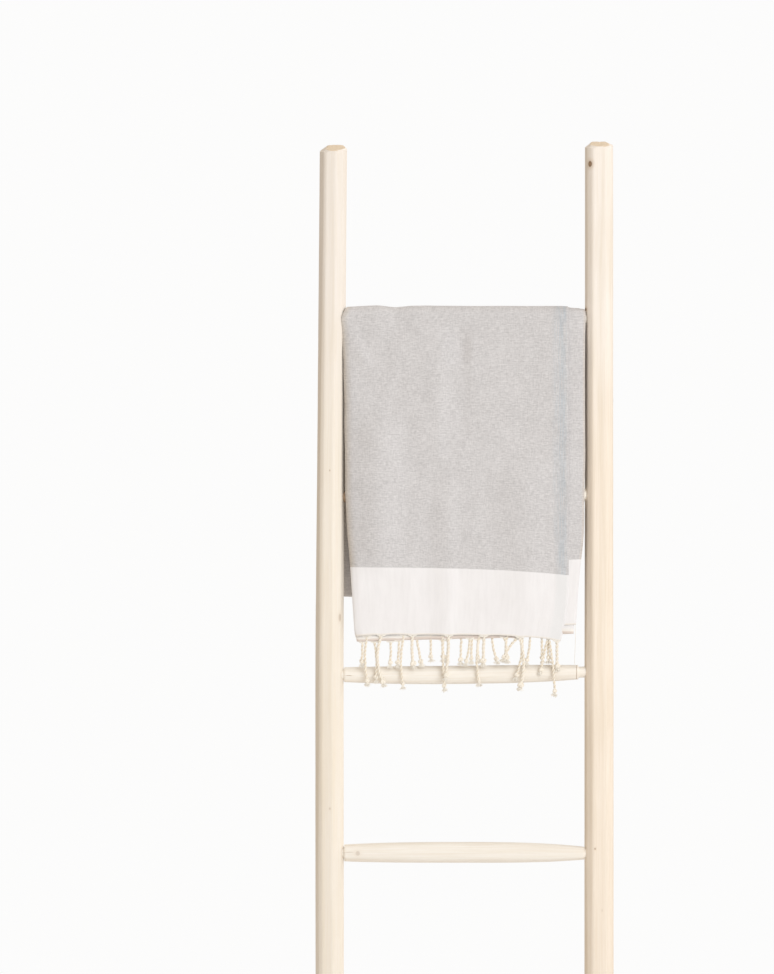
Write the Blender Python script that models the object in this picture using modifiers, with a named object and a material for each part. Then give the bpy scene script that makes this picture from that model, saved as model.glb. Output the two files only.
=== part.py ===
"""A hammam towel, folded and hung over the top rung of a leaning wooden ladder.

Metres, +Z up. The front faces -Y, and the ladder's feet stand on Z = 0. Every object is one solid.
The towel is one flat cloth whose points are carried to their places: folded in three lengthwise,
folded once across, and laid over the rung with both fringed ends in front.
"""

import math
from collections import namedtuple

import bmesh
import bpy
from mathutils import Vector

# The ladder: two peeled poles and five rungs, leaning back against a wall.
LEAN = math.radians(3.0)
STILE_RADIUS = 0.0205
STILE_SPACING = 0.4172
STILE_SIDES = 20
END_CUT = math.radians(20.0)  # the sawn top slopes down to the front
WALL_FLAT = 0.0008  # how deep the flat is that touches the wall
WALL_FLAT_HEIGHT = 1.62
RUNG_SIDES = 16
RUNG_STEPS = 8
TENON_RADIUS = 0.0086
TENON_LENGTH = 0.026
SEAT_GAP = 0.0003  # between a tenon and its hole, and between the cloth and its fringe
SHOULDER_GAP = 0.0008  # between a rung's shoulder and the round pole
CHAMFER = 0.0003  # along the rung, at its shoulders

Stile = namedtuple("Stile", "name side height")
STILES = (
    Stile("stile_left", -1, 1.6365),
    Stile("stile_right", 1, 1.6420),
)

# How a pole's top is rounded: distance below the sawn face, and share of the full radius.
TopRing = namedtuple("TopRing", "below share")
TOP_RINGS = (
    TopRing(0.0200, 1.00),
    TopRing(0.0110, 0.99),
    TopRing(0.0060, 0.93),
    TopRing(0.0025, 0.82),
    TopRing(0.0000, 0.68),
)

# Heights of a rung's two ends and middle, its thickness there, and how much of its right tenon shows.
Rung = namedtuple("Rung", "name left middle right left_thick thick right_thick bare")
RUNGS = (
    Rung("rung_1", 1.3680, 1.3680, 1.3680, 0.0210, 0.0270, 0.0210, SHOULDER_GAP),
    Rung("rung_2", 1.0880, 1.0900, 1.0903, 0.0190, 0.0270, 0.0234, SHOULDER_GAP),
    Rung("rung_3", 0.8125, 0.8098, 0.8145, 0.0234, 0.0273, 0.0210, 0.0130),
    Rung("rung_4", 0.5311, 0.5351, 0.5343, 0.0193, 0.0320, 0.0195, SHOULDER_GAP),
    Rung("rung_5", 0.2570, 0.2590, 0.2570, 0.0200, 0.0300, 0.0205, SHOULDER_GAP),
)

# The cloth. Its flat length follows from the two drops: about 1.0 by 2.0 m.
CLOTH = 0.0010
FIRST_FOLD = 0.352  # from the selvedge in front to the left fold, across the flat cloth
SECOND_FOLD = 0.727  # from the same selvedge to the right fold
FLAT_WIDTH = 1.0
HALF_FOLD = 0.001  # the flat width that either half of a lengthwise fold takes up
FOLD_STEPS = 3
CROSS_FOLD_STEPS = 4
OVER_STEPS = 10
RUNG_CLEARANCE = 0.0005
OUTER_LEVEL = 2.5  # the front panel lies this many layer pitches off the strip's middle line
TOP_PITCH = 0.0014  # from layer to layer over the rung
OVER_RADIUS = 0.0135 + RUNG_CLEARANCE + CLOTH / 2 + OUTER_LEVEL * TOP_PITCH
HEM_RUN = 0.5311  # from the rung's top to the front hem, along the selvedge
BACK_HEIGHT_LEFT = 0.9351
BACK_HEIGHT_RIGHT = 0.9190
BACK_ROWS = (0.35, 0.70, 1.0)
INNER_HEM_SLANT = 0.020  # how the inner end rises away from its left fold
INNER_SHORTFALL = 0.0017  # the inner end hangs this much lower than the outer one

# Where the folded strip has columns, as shares of its width from the left fold.
COLUMN_SHARES = (0.0, 0.14, 0.27, 0.36, 0.41, 0.45, 0.49, 0.56, 0.70, 0.85, 1.0)
SELVEDGE_SHARE = 0.93
INNER_SELVEDGE_SHARE = 0.27

# The outer pass of the strip, from the foot of the fringe, over the rung, to the fold behind.
# run: along the cloth from the rung's top, positive in front; forward: of the middle line, from the
# rung's axis; pitch: from layer to layer; left, right: the folds; selvedge: of the front panel;
# tilt: how a weft line rises for each metre across the flat cloth.
Station = namedtuple("Station", "run forward pitch left right selvedge tilt")
OUTER = (
    Station(0.6080, 0.0433, 0.0026, -0.1660, 0.1690, 0.1480, 0.020),
    Station(0.5860, 0.0430, 0.0026, -0.1665, 0.1692, 0.1482, 0.020),
    Station(HEM_RUN, 0.0402, 0.0026, -0.1694, 0.1704, 0.1486, 0.020),
    Station(0.4900, 0.0387, 0.0024, -0.1745, 0.1720, 0.1560, 0.025),
    Station(0.4500, 0.0373, 0.0022, -0.1790, 0.1740, 0.1598, 0.030),
    Station(0.4060, 0.0361, 0.0021, -0.1818, 0.1790, 0.1606, 0.034),
    Station(0.3560, 0.0348, 0.0019, -0.1856, 0.1829, 0.1606, 0.022),
    Station(0.3060, 0.0336, 0.0018, -0.1881, 0.1845, 0.1606, 0.012),
    Station(0.2300, 0.0291, 0.0016, -0.1889, 0.1853, 0.1606, 0.000),
    Station(0.1570, 0.0251, 0.0015, -0.1896, 0.1861, 0.1606, 0.000),
    Station(0.0900, 0.0214, TOP_PITCH, -0.1920, 0.1861, 0.1606, 0.000),
    Station(0.0290, OVER_RADIUS, TOP_PITCH, -0.1950, 0.1870, 0.1606, 0.000),
    Station(0.0140, OVER_RADIUS, TOP_PITCH, -0.1890, 0.1855, 0.1606, 0.000),
    Station(0.0000, OVER_RADIUS, TOP_PITCH, -0.1852, 0.1842, 0.1600, 0.000),
    Station(-0.0290, OVER_RADIUS, TOP_PITCH, -0.1852, 0.1842, 0.1590, 0.000),
    Station(-0.1600, OVER_RADIUS, 0.0015, -0.1900, 0.1820, 0.1580, 0.000),
    Station(-0.4700, OVER_RADIUS, 0.0018, -0.1945, 0.1740, 0.1560, 0.000),
)

# How much further in than the outer pass the inner one's folds lie.
Inset = namedtuple("Inset", "run left right")
INNER_INSETS = (
    Inset(0.6080, 0.0040, 0.0120),
    Inset(0.4060, 0.0040, 0.0060),
    Inset(0.0900, 0.0060, 0.0030),
    Inset(0.0290, 0.0100, 0.0030),
    Inset(0.0140, 0.0045, 0.0020),
    Inset(0.0000, 0.0010, 0.0010),
    Inset(-0.0290, 0.0010, 0.0010),
    Inset(-0.3000, 0.0010, 0.0010),
    Inset(-0.4700, 0.0000, 0.0000),
)

# Soft ridges (rise above zero) and troughs of the hanging front, from their tops to their feet.
Crease = namedtuple("Crease", "top_x top_z foot_x foot_z reach rise")
CREASES = (
    Crease(-0.0235, 1.150, -0.0250, 0.680, 0.030, 0.0030),
    Crease(-0.0490, 1.060, -0.0500, 0.680, 0.024, -0.0015),
    Crease(0.0780, 1.070, 0.0700, 0.680, 0.030, 0.0015),
    Crease(-0.1900, 1.370, -0.1400, 1.210, 0.030, 0.0010),
    Crease(0.1200, 1.340, 0.1150, 1.140, 0.045, 0.0008),
)
CREASE_END = 0.25  # the share of a crease's length over which it rises, and falls again

# The fringes: one comb along each end, its teeth where the twisted cords hang.
Fringe = namedtuple("Fringe", "name outer first foot")
FRINGES = (
    Fringe("fringe_front", True, 0.0080, 0.6070),
    Fringe("fringe_inner", False, 0.0300, 0.5710),
)
CORD_PITCH = 0.0594
CORD_COUNT = 17
CORD_WIDTH = 0.005
COMB_THICKNESS = 0.0011
HEADING = 0.004

Finish = namedtuple("Finish", "name colour roughness")
WOOD = Finish("peeled_wood", (0.83, 0.72, 0.56, 1.0), 0.6)
COTTON = Finish("grey_cotton", (0.62, 0.60, 0.59, 1.0), 0.9)
CORD = Finish("cream_cord", (0.86, 0.78, 0.64, 1.0), 0.9)

# Derived places.
TOP_RUNG = RUNGS[0]
REACH_BACK = STILE_RADIUS / math.cos(LEAN)
WALL = (2 * REACH_BACK + WALL_FLAT_HEIGHT * math.tan(LEAN) - WALL_FLAT) / 2
QUARTER = OVER_RADIUS * math.pi / 2
STILE_FACE = STILE_SPACING / 2 - STILE_RADIUS
BACK_RUN = TOP_RUNG.middle - BACK_HEIGHT_LEFT


def ladder_y(height):
    """The depth of the ladder's axes at a height. The feet reach as far forward as the wall flats back."""
    return REACH_BACK - WALL + height * math.tan(LEAN)


def smooth(share):
    share = min(max(share, 0.0), 1.0)
    return share * share * (3 - 2 * share)


def read_row(rows, run, column):
    """A column of a table at a distance along the cloth, straight between its rows."""
    if run >= rows[0].run:
        return getattr(rows[0], column)
    for high, low in zip(rows, rows[1:]):
        if run >= low.run:
            share = (run - low.run) / (high.run - low.run)
            return getattr(low, column) * (1 - share) + getattr(high, column) * share
    return getattr(rows[-1], column)


# ---- scene and finish ----


def clear_scene():
    for obj in list(bpy.data.objects):
        bpy.data.objects.remove(obj, do_unlink=True)


def make_collection(name):
    collection = bpy.data.collections.new(name)
    bpy.context.scene.collection.children.link(collection)
    return collection


def make_material(finish):
    material = bpy.data.materials.new(finish.name)
    material.use_nodes = True
    shader = material.node_tree.nodes["Principled BSDF"]
    shader.inputs["Base Color"].default_value = finish.colour
    shader.inputs["Roughness"].default_value = finish.roughness
    shader.inputs["Metallic"].default_value = 0.0
    material.diffuse_color = finish.colour
    return material


def add_object(name, mesh, material, collection):
    obj = bpy.data.objects.new(name, mesh)
    collection.objects.link(obj)
    mesh.materials.append(material)
    return obj


# ---- ladder ----


def make_pole(name, rings, sides, material, collection):
    """A round pole along rings of (centre, radius), as one closed mesh with welded caps."""
    widest = max(radius for _, radius in rings)
    curve = bpy.data.curves.new(name, "CURVE")
    curve.dimensions = "3D"
    curve.bevel_depth = widest
    curve.bevel_resolution = (sides - 4) // 2
    curve.use_fill_caps = True
    spline = curve.splines.new("POLY")
    spline.points.add(len(rings) - 1)
    for point, (centre, radius) in zip(spline.points, rings):
        point.co = (*centre, 1.0)
        point.radius = radius / widest
    pole = bpy.data.objects.new(name, curve)
    collection.objects.link(pole)
    bpy.context.view_layer.update()
    shape = bpy.data.meshes.new_from_object(pole.evaluated_get(bpy.context.evaluated_depsgraph_get()))
    bpy.data.objects.remove(pole, do_unlink=True)
    weld(shape)
    return add_object(name, shape, material, collection)


def weld(shape):
    bm = bmesh.new()
    bm.from_mesh(shape)
    bmesh.ops.remove_doubles(bm, verts=bm.verts, dist=1e-6)
    bmesh.ops.recalc_face_normals(bm, faces=bm.faces)
    bm.to_mesh(shape)
    bm.free()


def cut_flat(shape, point, outward):
    """Cuts away what lies beyond a plane, and closes the cut."""
    bm = bmesh.new()
    bm.from_mesh(shape)
    everything = bm.verts[:] + bm.edges[:] + bm.faces[:]
    bmesh.ops.bisect_plane(bm, geom=everything, plane_co=point, plane_no=outward, clear_outer=True)
    rim = [edge for edge in bm.edges if edge.is_boundary]
    bmesh.ops.holes_fill(bm, edges=rim)
    bmesh.ops.recalc_face_normals(bm, faces=bm.faces)
    bm.to_mesh(shape)
    bm.free()


def slope_top(shape, top_y, height):
    """Tips the sawn top down to the front, with the rounded shoulder below it."""
    shoulder = height - TOP_RINGS[0].below
    for vertex in shape.vertices:
        lift = smooth((vertex.co.z - shoulder) / TOP_RINGS[0].below)
        vertex.co.z += lift * (vertex.co.y - top_y) * math.tan(END_CUT)


def make_stile(stile, material, collection):
    x = stile.side * STILE_SPACING / 2
    below_floor = -2 * STILE_RADIUS * math.tan(LEAN)
    rings = [(Vector((x, ladder_y(below_floor), below_floor)), STILE_RADIUS)]
    for ring in TOP_RINGS:
        z = stile.height - ring.below
        rings.append((Vector((x, ladder_y(z), z)), STILE_RADIUS * ring.share))
    pole = make_pole(stile.name, rings, STILE_SIDES, material, collection)
    slope_top(pole.data, ladder_y(stile.height), stile.height)
    cut_flat(pole.data, Vector((0, 0, 0)), Vector((0, 0, -1)))
    cut_flat(pole.data, Vector((0, WALL, 0)), Vector((0, 1, 0)))
    return pole


def rung_height(rung, share):
    """The height of a rung's axis at a share from -1, left, to 1, right."""
    straight = (rung.left + rung.right) / 2 + (rung.right - rung.left) / 2 * share
    return straight + (rung.middle - (rung.left + rung.right) / 2) * (1 - share * share)


def rung_point(rung, x):
    z = rung_height(rung, x / STILE_FACE)
    return Vector((x, ladder_y(z), z))


def make_rung(rung, material, collection):
    """A rung swells to its middle and is turned down to a tenon at either end."""
    tenon_end = STILE_FACE + TENON_LENGTH
    left_shoulder = -STILE_FACE + SHOULDER_GAP
    right_shoulder = STILE_FACE - rung.bare
    rings = [(rung_point(rung, -tenon_end), TENON_RADIUS), (rung_point(rung, left_shoulder), TENON_RADIUS)]
    for step in range(RUNG_STEPS + 1):
        share = 2 * step / RUNG_STEPS - 1
        x = left_shoulder + CHAMFER + (right_shoulder - left_shoulder - 2 * CHAMFER) * step / RUNG_STEPS
        end = rung.left_thick if share < 0 else rung.right_thick
        thick = end + (rung.thick - end) * (1 - abs(share) ** 3)
        rings.append((rung_point(rung, x), thick / 2))
    rings.append((rung_point(rung, right_shoulder), TENON_RADIUS))
    rings.append((rung_point(rung, tenon_end), TENON_RADIUS))
    return make_pole(rung.name, rings, RUNG_SIDES, material, collection)


def cut_holes(poles, cutters, material):
    """Drills the poles for every tenon, a seat gap wider and deeper than the tenon."""
    for rung in RUNGS:
        for stile, pole in zip(STILES, poles):
            near = rung_point(rung, stile.side * (STILE_FACE - STILE_RADIUS))
            far = rung_point(rung, stile.side * (STILE_FACE + TENON_LENGTH + SEAT_GAP))
            rings = [(near, TENON_RADIUS + SEAT_GAP), (far, TENON_RADIUS + SEAT_GAP)]
            hole = make_pole(f"hole_{rung.name}_{stile.name}", rings, RUNG_SIDES, material, cutters)
            hole.hide_render = True
            hole.display_type = "WIRE"
            cut = pole.modifiers.new("hole", "BOOLEAN")
            cut.operation = "DIFFERENCE"
            cut.object = hole


def make_ladder(collection, cutters):
    wood = make_material(WOOD)
    poles = [make_stile(stile, wood, collection) for stile in STILES]
    for rung in RUNGS:
        make_rung(rung, wood, collection)
    cut_holes(poles, cutters, wood)


# ---- cloth ----


def crease_rise(x, z):
    """How far the hanging front stands out of its smooth drape at a place."""
    total = 0.0
    for crease in CREASES:
        down = (crease.top_z - z) / (crease.top_z - crease.foot_z)
        if 0 < down <= 1:
            middle = crease.top_x + (crease.foot_x - crease.top_x) * down
            off = abs(x - middle) / crease.reach
            bell = (1 + math.cos(math.pi * off)) / 2 if off < 1 else 0.0
            total += crease.rise * bell * smooth(down / CREASE_END) * smooth((1 - down) / CREASE_END)
    return total


def across(u, outer, run):
    """The place across the strip of a point of the flat cloth: x before its fold bulges, level, bulge."""
    left = read_row(OUTER, run, "left")
    right = read_row(OUTER, run, "right")
    selvedge = read_row(OUTER, run, "selvedge")
    if not outer:
        left += read_row(INNER_INSETS, run, "left")
        right -= read_row(INNER_INSETS, run, "right")
        selvedge -= read_row(INNER_INSETS, run, "right")
    if u <= FIRST_FOLD - HALF_FOLD:
        return selvedge + (left - selvedge) * u / (FIRST_FOLD - HALF_FOLD), OUTER_LEVEL, 0.0
    if u < FIRST_FOLD + HALF_FOLD:
        turn = math.pi * (u - FIRST_FOLD + HALF_FOLD) / (2 * HALF_FOLD)
        return left, OUTER_LEVEL - 0.5 + 0.5 * math.cos(turn), -0.5 * math.sin(turn)
    if u <= SECOND_FOLD - HALF_FOLD:
        share = (u - FIRST_FOLD - HALF_FOLD) / (SECOND_FOLD - FIRST_FOLD - 2 * HALF_FOLD)
        return left + (right - left) * share, OUTER_LEVEL - 1, 0.0
    if u < SECOND_FOLD + HALF_FOLD:
        turn = math.pi * (u - SECOND_FOLD + HALF_FOLD) / (2 * HALF_FOLD)
        return right, OUTER_LEVEL - 1.5 + 0.5 * math.cos(turn), 0.5 * math.sin(turn)
    share = (u - SECOND_FOLD - HALF_FOLD) / (FLAT_WIDTH - SECOND_FOLD - HALF_FOLD)
    return right - (right - left) * (1 - INNER_SELVEDGE_SHARE) * share, OUTER_LEVEL - 2, 0.0


def back_height(x):
    """The height of the crosswise fold behind, which hangs lower on the right."""
    share = (x + STILE_FACE) / (2 * STILE_FACE)
    return BACK_HEIGHT_LEFT + (BACK_HEIGHT_RIGHT - BACK_HEIGHT_LEFT) * share


def middle_line(run, x):
    """The strip's middle line at a distance along the cloth: its point and its outward direction."""
    axis = Vector((x, ladder_y(TOP_RUNG.middle), TOP_RUNG.middle))
    if abs(run) <= QUARTER:
        turn = run / OVER_RADIUS
        outward = Vector((0, -math.sin(turn), math.cos(turn)))
        return axis + OVER_RADIUS * outward, outward
    drop = abs(run) - QUARTER
    if run > 0:
        forward = read_row(OUTER, run, "forward")
        return axis + Vector((0, -forward, -drop)), Vector((0, -1, 0))
    return axis + Vector((0, OVER_RADIUS, -drop)), Vector((0, 1, 0))


def place(u, run, outer, turn=None):
    """Carries a point of the flat cloth to where it hangs.

    turn is the angle round the crosswise fold behind, and None away from it.
    """
    x, level, bulge = across(u, outer, run)
    pitch = read_row(OUTER, run, "pitch")
    if outer:
        run -= read_row(OUTER, run, "tilt") * u
    elif run > 0:
        run -= INNER_HEM_SLANT * abs(u - FIRST_FOLD) * smooth(run / HEM_RUN)
    point, outward = middle_line(run, x)
    if run < -QUARTER:
        point.z = TOP_RUNG.middle - (TOP_RUNG.middle - back_height(x)) * (-run - QUARTER) / BACK_RUN
    if turn is not None:
        outward = Vector((0, math.cos(turn), -math.sin(turn)))
    side = 1 if outer or turn is not None else -1
    if run > QUARTER:
        point += outward * crease_rise(x, point.z)
    return point + outward * side * level * pitch + Vector((bulge * pitch, 0, 0))


def cloth_columns():
    """Distances across the flat cloth at which the folded grid has its columns."""
    fold = [HALF_FOLD * (2 * step / FOLD_STEPS - 1) for step in range(FOLD_STEPS + 1)]
    first = FIRST_FOLD - HALF_FOLD
    front = [first * (1 - share / SELVEDGE_SHARE) for share in COLUMN_SHARES if 0 < share < SELVEDGE_SHARE]
    middle_width = SECOND_FOLD - FIRST_FOLD - 2 * HALF_FOLD
    middle = [FIRST_FOLD + HALF_FOLD + middle_width * share for share in COLUMN_SHARES[1:-1]]
    inner_width = FLAT_WIDTH - SECOND_FOLD - HALF_FOLD
    inner = [
        SECOND_FOLD + HALF_FOLD + inner_width * (1 - share) / (1 - INNER_SELVEDGE_SHARE)
        for share in COLUMN_SHARES
        if INNER_SELVEDGE_SHARE <= share < 1
    ]
    folds = [FIRST_FOLD + step for step in fold] + [SECOND_FOLD + step for step in fold]
    return sorted([0.0] + front + folds + middle + inner)


def cloth_rows():
    """The rows from the outer end, over the rung and round the fold behind, to the inner end."""
    front = [row.run for row in OUTER if row.run > QUARTER and row.run <= HEM_RUN]
    over = [QUARTER * (1 - 2 * step / OVER_STEPS) for step in range(OVER_STEPS + 1)]
    back = [-QUARTER - BACK_RUN * share for share in BACK_ROWS]
    outer = front + over + back
    turns = [math.pi * step / CROSS_FOLD_STEPS for step in range(1, CROSS_FOLD_STEPS)]
    rows = [(run, True, None) for run in outer]
    rows += [(outer[-1], True, turn) for turn in turns]
    rows += [(run, False, None) for run in reversed(outer[1:])]
    return rows + [(outer[0] + INNER_SHORTFALL, False, None)]


def grid_spot(point, wide, long):
    """The column and row of a grid's vertex, or of the cell that holds a face's middle."""
    return int((point.x + 0.5) * wide + 1e-4), int((point.y + 0.5) * long + 1e-4)


def make_sheet(name, columns, rows, thickness, material, collection, keep=None):
    """A grid of the flat cloth carried to its place and given its thickness."""
    wide, long = len(columns) - 1, len(rows) - 1
    bm = bmesh.new()
    bmesh.ops.create_grid(bm, x_segments=wide, y_segments=long, size=0.5)
    if keep:
        spare = [face for face in bm.faces if not keep(*grid_spot(face.calc_center_median(), wide, long))]
        bmesh.ops.delete(bm, geom=spare, context="FACES")
    for vertex in bm.verts:
        column, row = grid_spot(vertex.co, wide, long)
        vertex.co = place(columns[column], *rows[row])
    shape = bpy.data.meshes.new(name)
    bm.to_mesh(shape)
    bm.free()
    obj = add_object(name, shape, material, collection)
    shell = obj.modifiers.new("thickness", "SOLIDIFY")
    shell.thickness = thickness
    shell.offset = 0.0
    return obj


def make_towel(collection):
    cotton = make_material(COTTON)
    make_sheet("towel", cloth_columns(), cloth_rows(), CLOTH, cotton, collection)


def make_fringe(fringe, material, collection):
    """A heading along the folded hem, with a tooth for every twisted cord."""
    hem = HEM_RUN + (0.0 if fringe.outer else INNER_SHORTFALL) + SEAT_GAP
    cords = [fringe.first + CORD_PITCH * index for index in range(CORD_COUNT)]
    sides = [cord + half for cord in cords for half in (-CORD_WIDTH / 2, CORD_WIDTH / 2)]
    columns = sorted(cloth_columns() + sides)
    runs = (hem, hem + HEADING, (hem + HEADING + fringe.foot) / 2, fringe.foot)
    rows = [(run, fringe.outer, None) for run in runs]

    def is_solid(column, row):
        return row == 0 or any(cord - CORD_WIDTH / 2 <= columns[column] < cord for cord in cords)

    make_sheet(fringe.name, columns, rows, COMB_THICKNESS, material, collection, is_solid)


def main():
    clear_scene()
    collection = make_collection("hammam_towel")
    cutters = make_collection("cutters")
    make_ladder(collection, cutters)
    make_towel(collection)
    cord = make_material(CORD)
    for fringe in FRINGES:
        make_fringe(fringe, cord, collection)


main()
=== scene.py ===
"""The looks of a hammam towel, folded and hung over the top rung of a leaning wooden ladder.

Metres, +Z up; the front faces -Y. The towel is one flat cloth whose points are carried to their places:
folded in three lengthwise, once across, and laid over the rung with both fringed ends in front. Its
twisted fringe cords follow listed lines. The ladder is two peeled poles and five shaved rungs.
"""

import math
import random
from collections import namedtuple

import bmesh
import bpy
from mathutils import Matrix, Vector, noise


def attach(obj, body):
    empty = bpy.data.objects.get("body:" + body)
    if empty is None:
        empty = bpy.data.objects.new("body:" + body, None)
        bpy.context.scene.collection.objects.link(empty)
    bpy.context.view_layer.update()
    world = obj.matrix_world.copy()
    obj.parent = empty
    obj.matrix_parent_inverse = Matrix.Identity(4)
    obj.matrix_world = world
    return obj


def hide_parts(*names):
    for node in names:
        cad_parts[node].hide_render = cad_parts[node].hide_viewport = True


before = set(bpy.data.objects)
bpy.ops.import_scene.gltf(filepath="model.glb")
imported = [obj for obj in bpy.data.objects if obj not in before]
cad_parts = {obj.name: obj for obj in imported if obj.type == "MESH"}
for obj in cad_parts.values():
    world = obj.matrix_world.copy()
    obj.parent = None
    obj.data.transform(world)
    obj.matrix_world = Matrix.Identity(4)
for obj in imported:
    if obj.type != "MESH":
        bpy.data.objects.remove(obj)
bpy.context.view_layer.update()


def table(kind, *rows):
    """Rows of numbers as named tuples of one kind."""
    return tuple(kind(*row) for row in rows)


# ---- the photograph's camera ----

PHOTO_HEIGHT = 974
FOCAL_PIXELS = 3846.0
SENSOR = 36.0
CAMERA_PLACE = Vector((-0.1226, -6.0, 1.1034))
CAMERA_ROLL = math.radians(-0.16)

# ---- sizes of the ladder, as in the frame ----

LEAN = math.radians(3.0)
STILE_RADIUS = 0.0205
STILE_SPACING = 0.4172
WALL_FLAT = 0.0008
WALL_FLAT_HEIGHT = 1.62
TENON_RADIUS = 0.0086
TENON_LENGTH = 0.026
SEAT_GAP = 0.0003
SHOULDER_GAP = 0.0008
CHAMFER = 0.0006
REACH_BACK = STILE_RADIUS / math.cos(LEAN)
WALL = (2 * REACH_BACK + WALL_FLAT_HEIGHT * math.tan(LEAN) - WALL_FLAT) / 2
STILE_FACE = STILE_SPACING / 2 - STILE_RADIUS

# A shaved flat along a pole or a rung: the way it faces, and how far in it lies as a share of the radius.
Flat = namedtuple("Flat", "around share")

# The whittled rim of a pole's top, direction by direction: how wide and how high the slanting cut is.
Rim = namedtuple("Rim", "around wide high")

# A knot, speck or crack, or a spot of painted shadow in a gap: round the piece and along it, its size, and
# how dark it is.
Mark = namedtuple("Mark", "around along wide long dark")

# bow: how steeply a pole runs to the right above and below BOW_MIDDLE; x is at BOW_TOP.
# tone: how pale its wood is; foot: what that is multiplied by lower down.
Stile = namedtuple("Stile", "name x bow radius height cut tone foot flats rims marks seed")
BOW_MIDDLE = 0.86
BOW_TOP = 1.47
BOW_EASE = 0.12
FOOT_SWELL = 0.028  # how much thicker a pole is lower down, as a share of its radius
STILES = (
    Stile(
        "stile_left", -0.209, 0.005, 0.0214, 1.6375, 20.0, 0.98, (1.01, 1.005, 0.97),
        table(
            Flat, (-68, 0.94), (-39, 0.985), (-9, 0.925), (31, 0.945), (68, 0.965),
            (108, 0.96), (150, 0.96), (190, 0.965), (232, 0.965),
        ),
        table(
            Rim, (-135, 0.008, 0.005), (-85, 0.0118, 0.0072), (-45, 0.005, 0.0045), (0, 0.0012, 0.001),
            (70, 0.0016, 0.0025), (110, 0.003, 0.003), (180, 0.0085, 0.003),
        ),
        table(
            Mark, (-4, 1.129, 0.0012, 0.0016, 0.35), (48, 0.9, 0.0032, 0.007, 0.3),
            (2, 0.604, 0.0018, 0.0022, 0.2), (150, 1.3, 0.004, 0.0055, 0.75),
            (-120, 0.42, 0.0035, 0.005, 0.65),
        ),
        3,
    ),
    Stile(
        "stile_right", 0.2092, 0.0, 0.0222, 1.6443, 18.0, 1.06, (0.965, 0.925, 0.865),
        table(
            Flat, (-76, 0.97), (-50, 0.972), (0, 0.895), (46, 0.95), (80, 0.965),
            (114, 0.96), (156, 0.96), (198, 0.965), (240, 0.965),
        ),
        table(
            Rim, (-135, 0.0066, 0.005), (-90, 0.0088, 0.0066), (-45, 0.0036, 0.004), (0, 0.001, 0.001),
            (50, 0.0042, 0.0016), (90, 0.008, 0.003), (135, 0.0062, 0.003), (180, 0.01, 0.003),
        ),
        table(
            Mark, (-43, 1.6105, 0.0044, 0.0054, 0.95), (-20, 0.543, 0.0014, 0.0018, 0.5),
            (-70, 0.543, 0.0012, 0.0016, 0.6), (10, 0.448, 0.002, 0.0028, 0.1),
            # the first mark on the next line is painted shadow, in the gap between the cloth's top corner,
            # the pole and the top rung's tenon
            (-77, 1.3822, 0.0048, 0.0032, 1.0), (165, 0.98, 0.0042, 0.006, 0.75),
            (95, 1.24, 0.003, 0.0045, 0.5),
        ),
        8,
    ),
)

# Heights of a rung's two ends and middle, its thickness there, and how much of its right tenon shows.
Rung = namedtuple("Rung", "name left middle right left_thick thick right_thick bare turn marks")
RUNGS = (
    Rung("rung_1", 1.368, 1.368, 1.368, 0.021, 0.027, 0.021, SHOULDER_GAP, 10, ()),
    Rung("rung_2", 1.088, 1.0905, 1.0915, 0.019, 0.027, 0.0244, SHOULDER_GAP, 35, table(
        # the second mark is painted shade on the left end, in the dark gap between the cloth's edge and the
        # pole
        Mark, (190, 0.06, 0.003, 0.004, 0.6), (0, -0.1885, 0.03, 0.0038, 0.8),
    )),
    Rung("rung_3", 0.8104, 0.8108, 0.8157, 0.0234, 0.0288, 0.0214, 0.0098, 0, table(
        Mark, (-4, -0.181, 0.0004, 0.0055, 0.9), (160, 0.02, 0.003, 0.0045, 0.6),
        (0, 0.1734, 0.03, 0.0004, 0.8),
    )),
    Rung("rung_4", 0.5336, 0.535, 0.5343, 0.0262, 0.0324, 0.0197, SHOULDER_GAP, 22, table(
        Mark, (2, -0.1665, 0.005, 0.004, 0.22), (60, -0.178, 0.0004, 0.009, 0.5),
        (10, -0.18, 0.0005, 0.008, 0.4),
    )),
    Rung("rung_5", 0.257, 0.259, 0.257, 0.02, 0.03, 0.0205, SHOULDER_GAP, 50, table(
        Mark, (15, 0.07, 0.003, 0.004, 0.5),
    )),
)
RUNG_FLATS = table(
    Flat, (-78, 0.95), (-30, 0.965), (12, 0.955), (58, 0.97), (104, 0.955),
    (150, 0.968), (205, 0.955), (246, 0.965),
)
TOP_RUNG = RUNGS[0]
REST_RUNG = RUNGS[2]  # the fringe hangs before it and rests on it

# ---- sizes of the cloth, as in the frame ----

CLOTH = 0.0007
FIRST_FOLD = 0.352
SECOND_FOLD = 0.727
FLAT_WIDTH = 1.0
HALF_FOLD = 0.001
PANEL_SPANS = (
    (0.0, FIRST_FOLD - HALF_FOLD),
    (FIRST_FOLD + HALF_FOLD, SECOND_FOLD - HALF_FOLD),
    (SECOND_FOLD + HALF_FOLD, FLAT_WIDTH),
)
OVER_RADIUS = 0.018
MIDDLE_LEVEL = 2.5
QUARTER = OVER_RADIUS * math.pi / 2
HEM_RUN = 0.5311
BACK_HEIGHT_LEFT = 0.9351
BACK_HEIGHT_RIGHT = 0.919
BACK_RUN = TOP_RUNG.middle - BACK_HEIGHT_LEFT
INNER_HEM_SLANTS = (0.024, 0.034)  # of its front panel, and of the others
INNER_HEM_CURL = 0.004  # how far the inner hem comes forward where it shows below the front one
INNER_SHORTFALL = 0.002
INNER_SELVEDGE_SHARE = 0.27
WHITE_BAND = 0.1015

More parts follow.
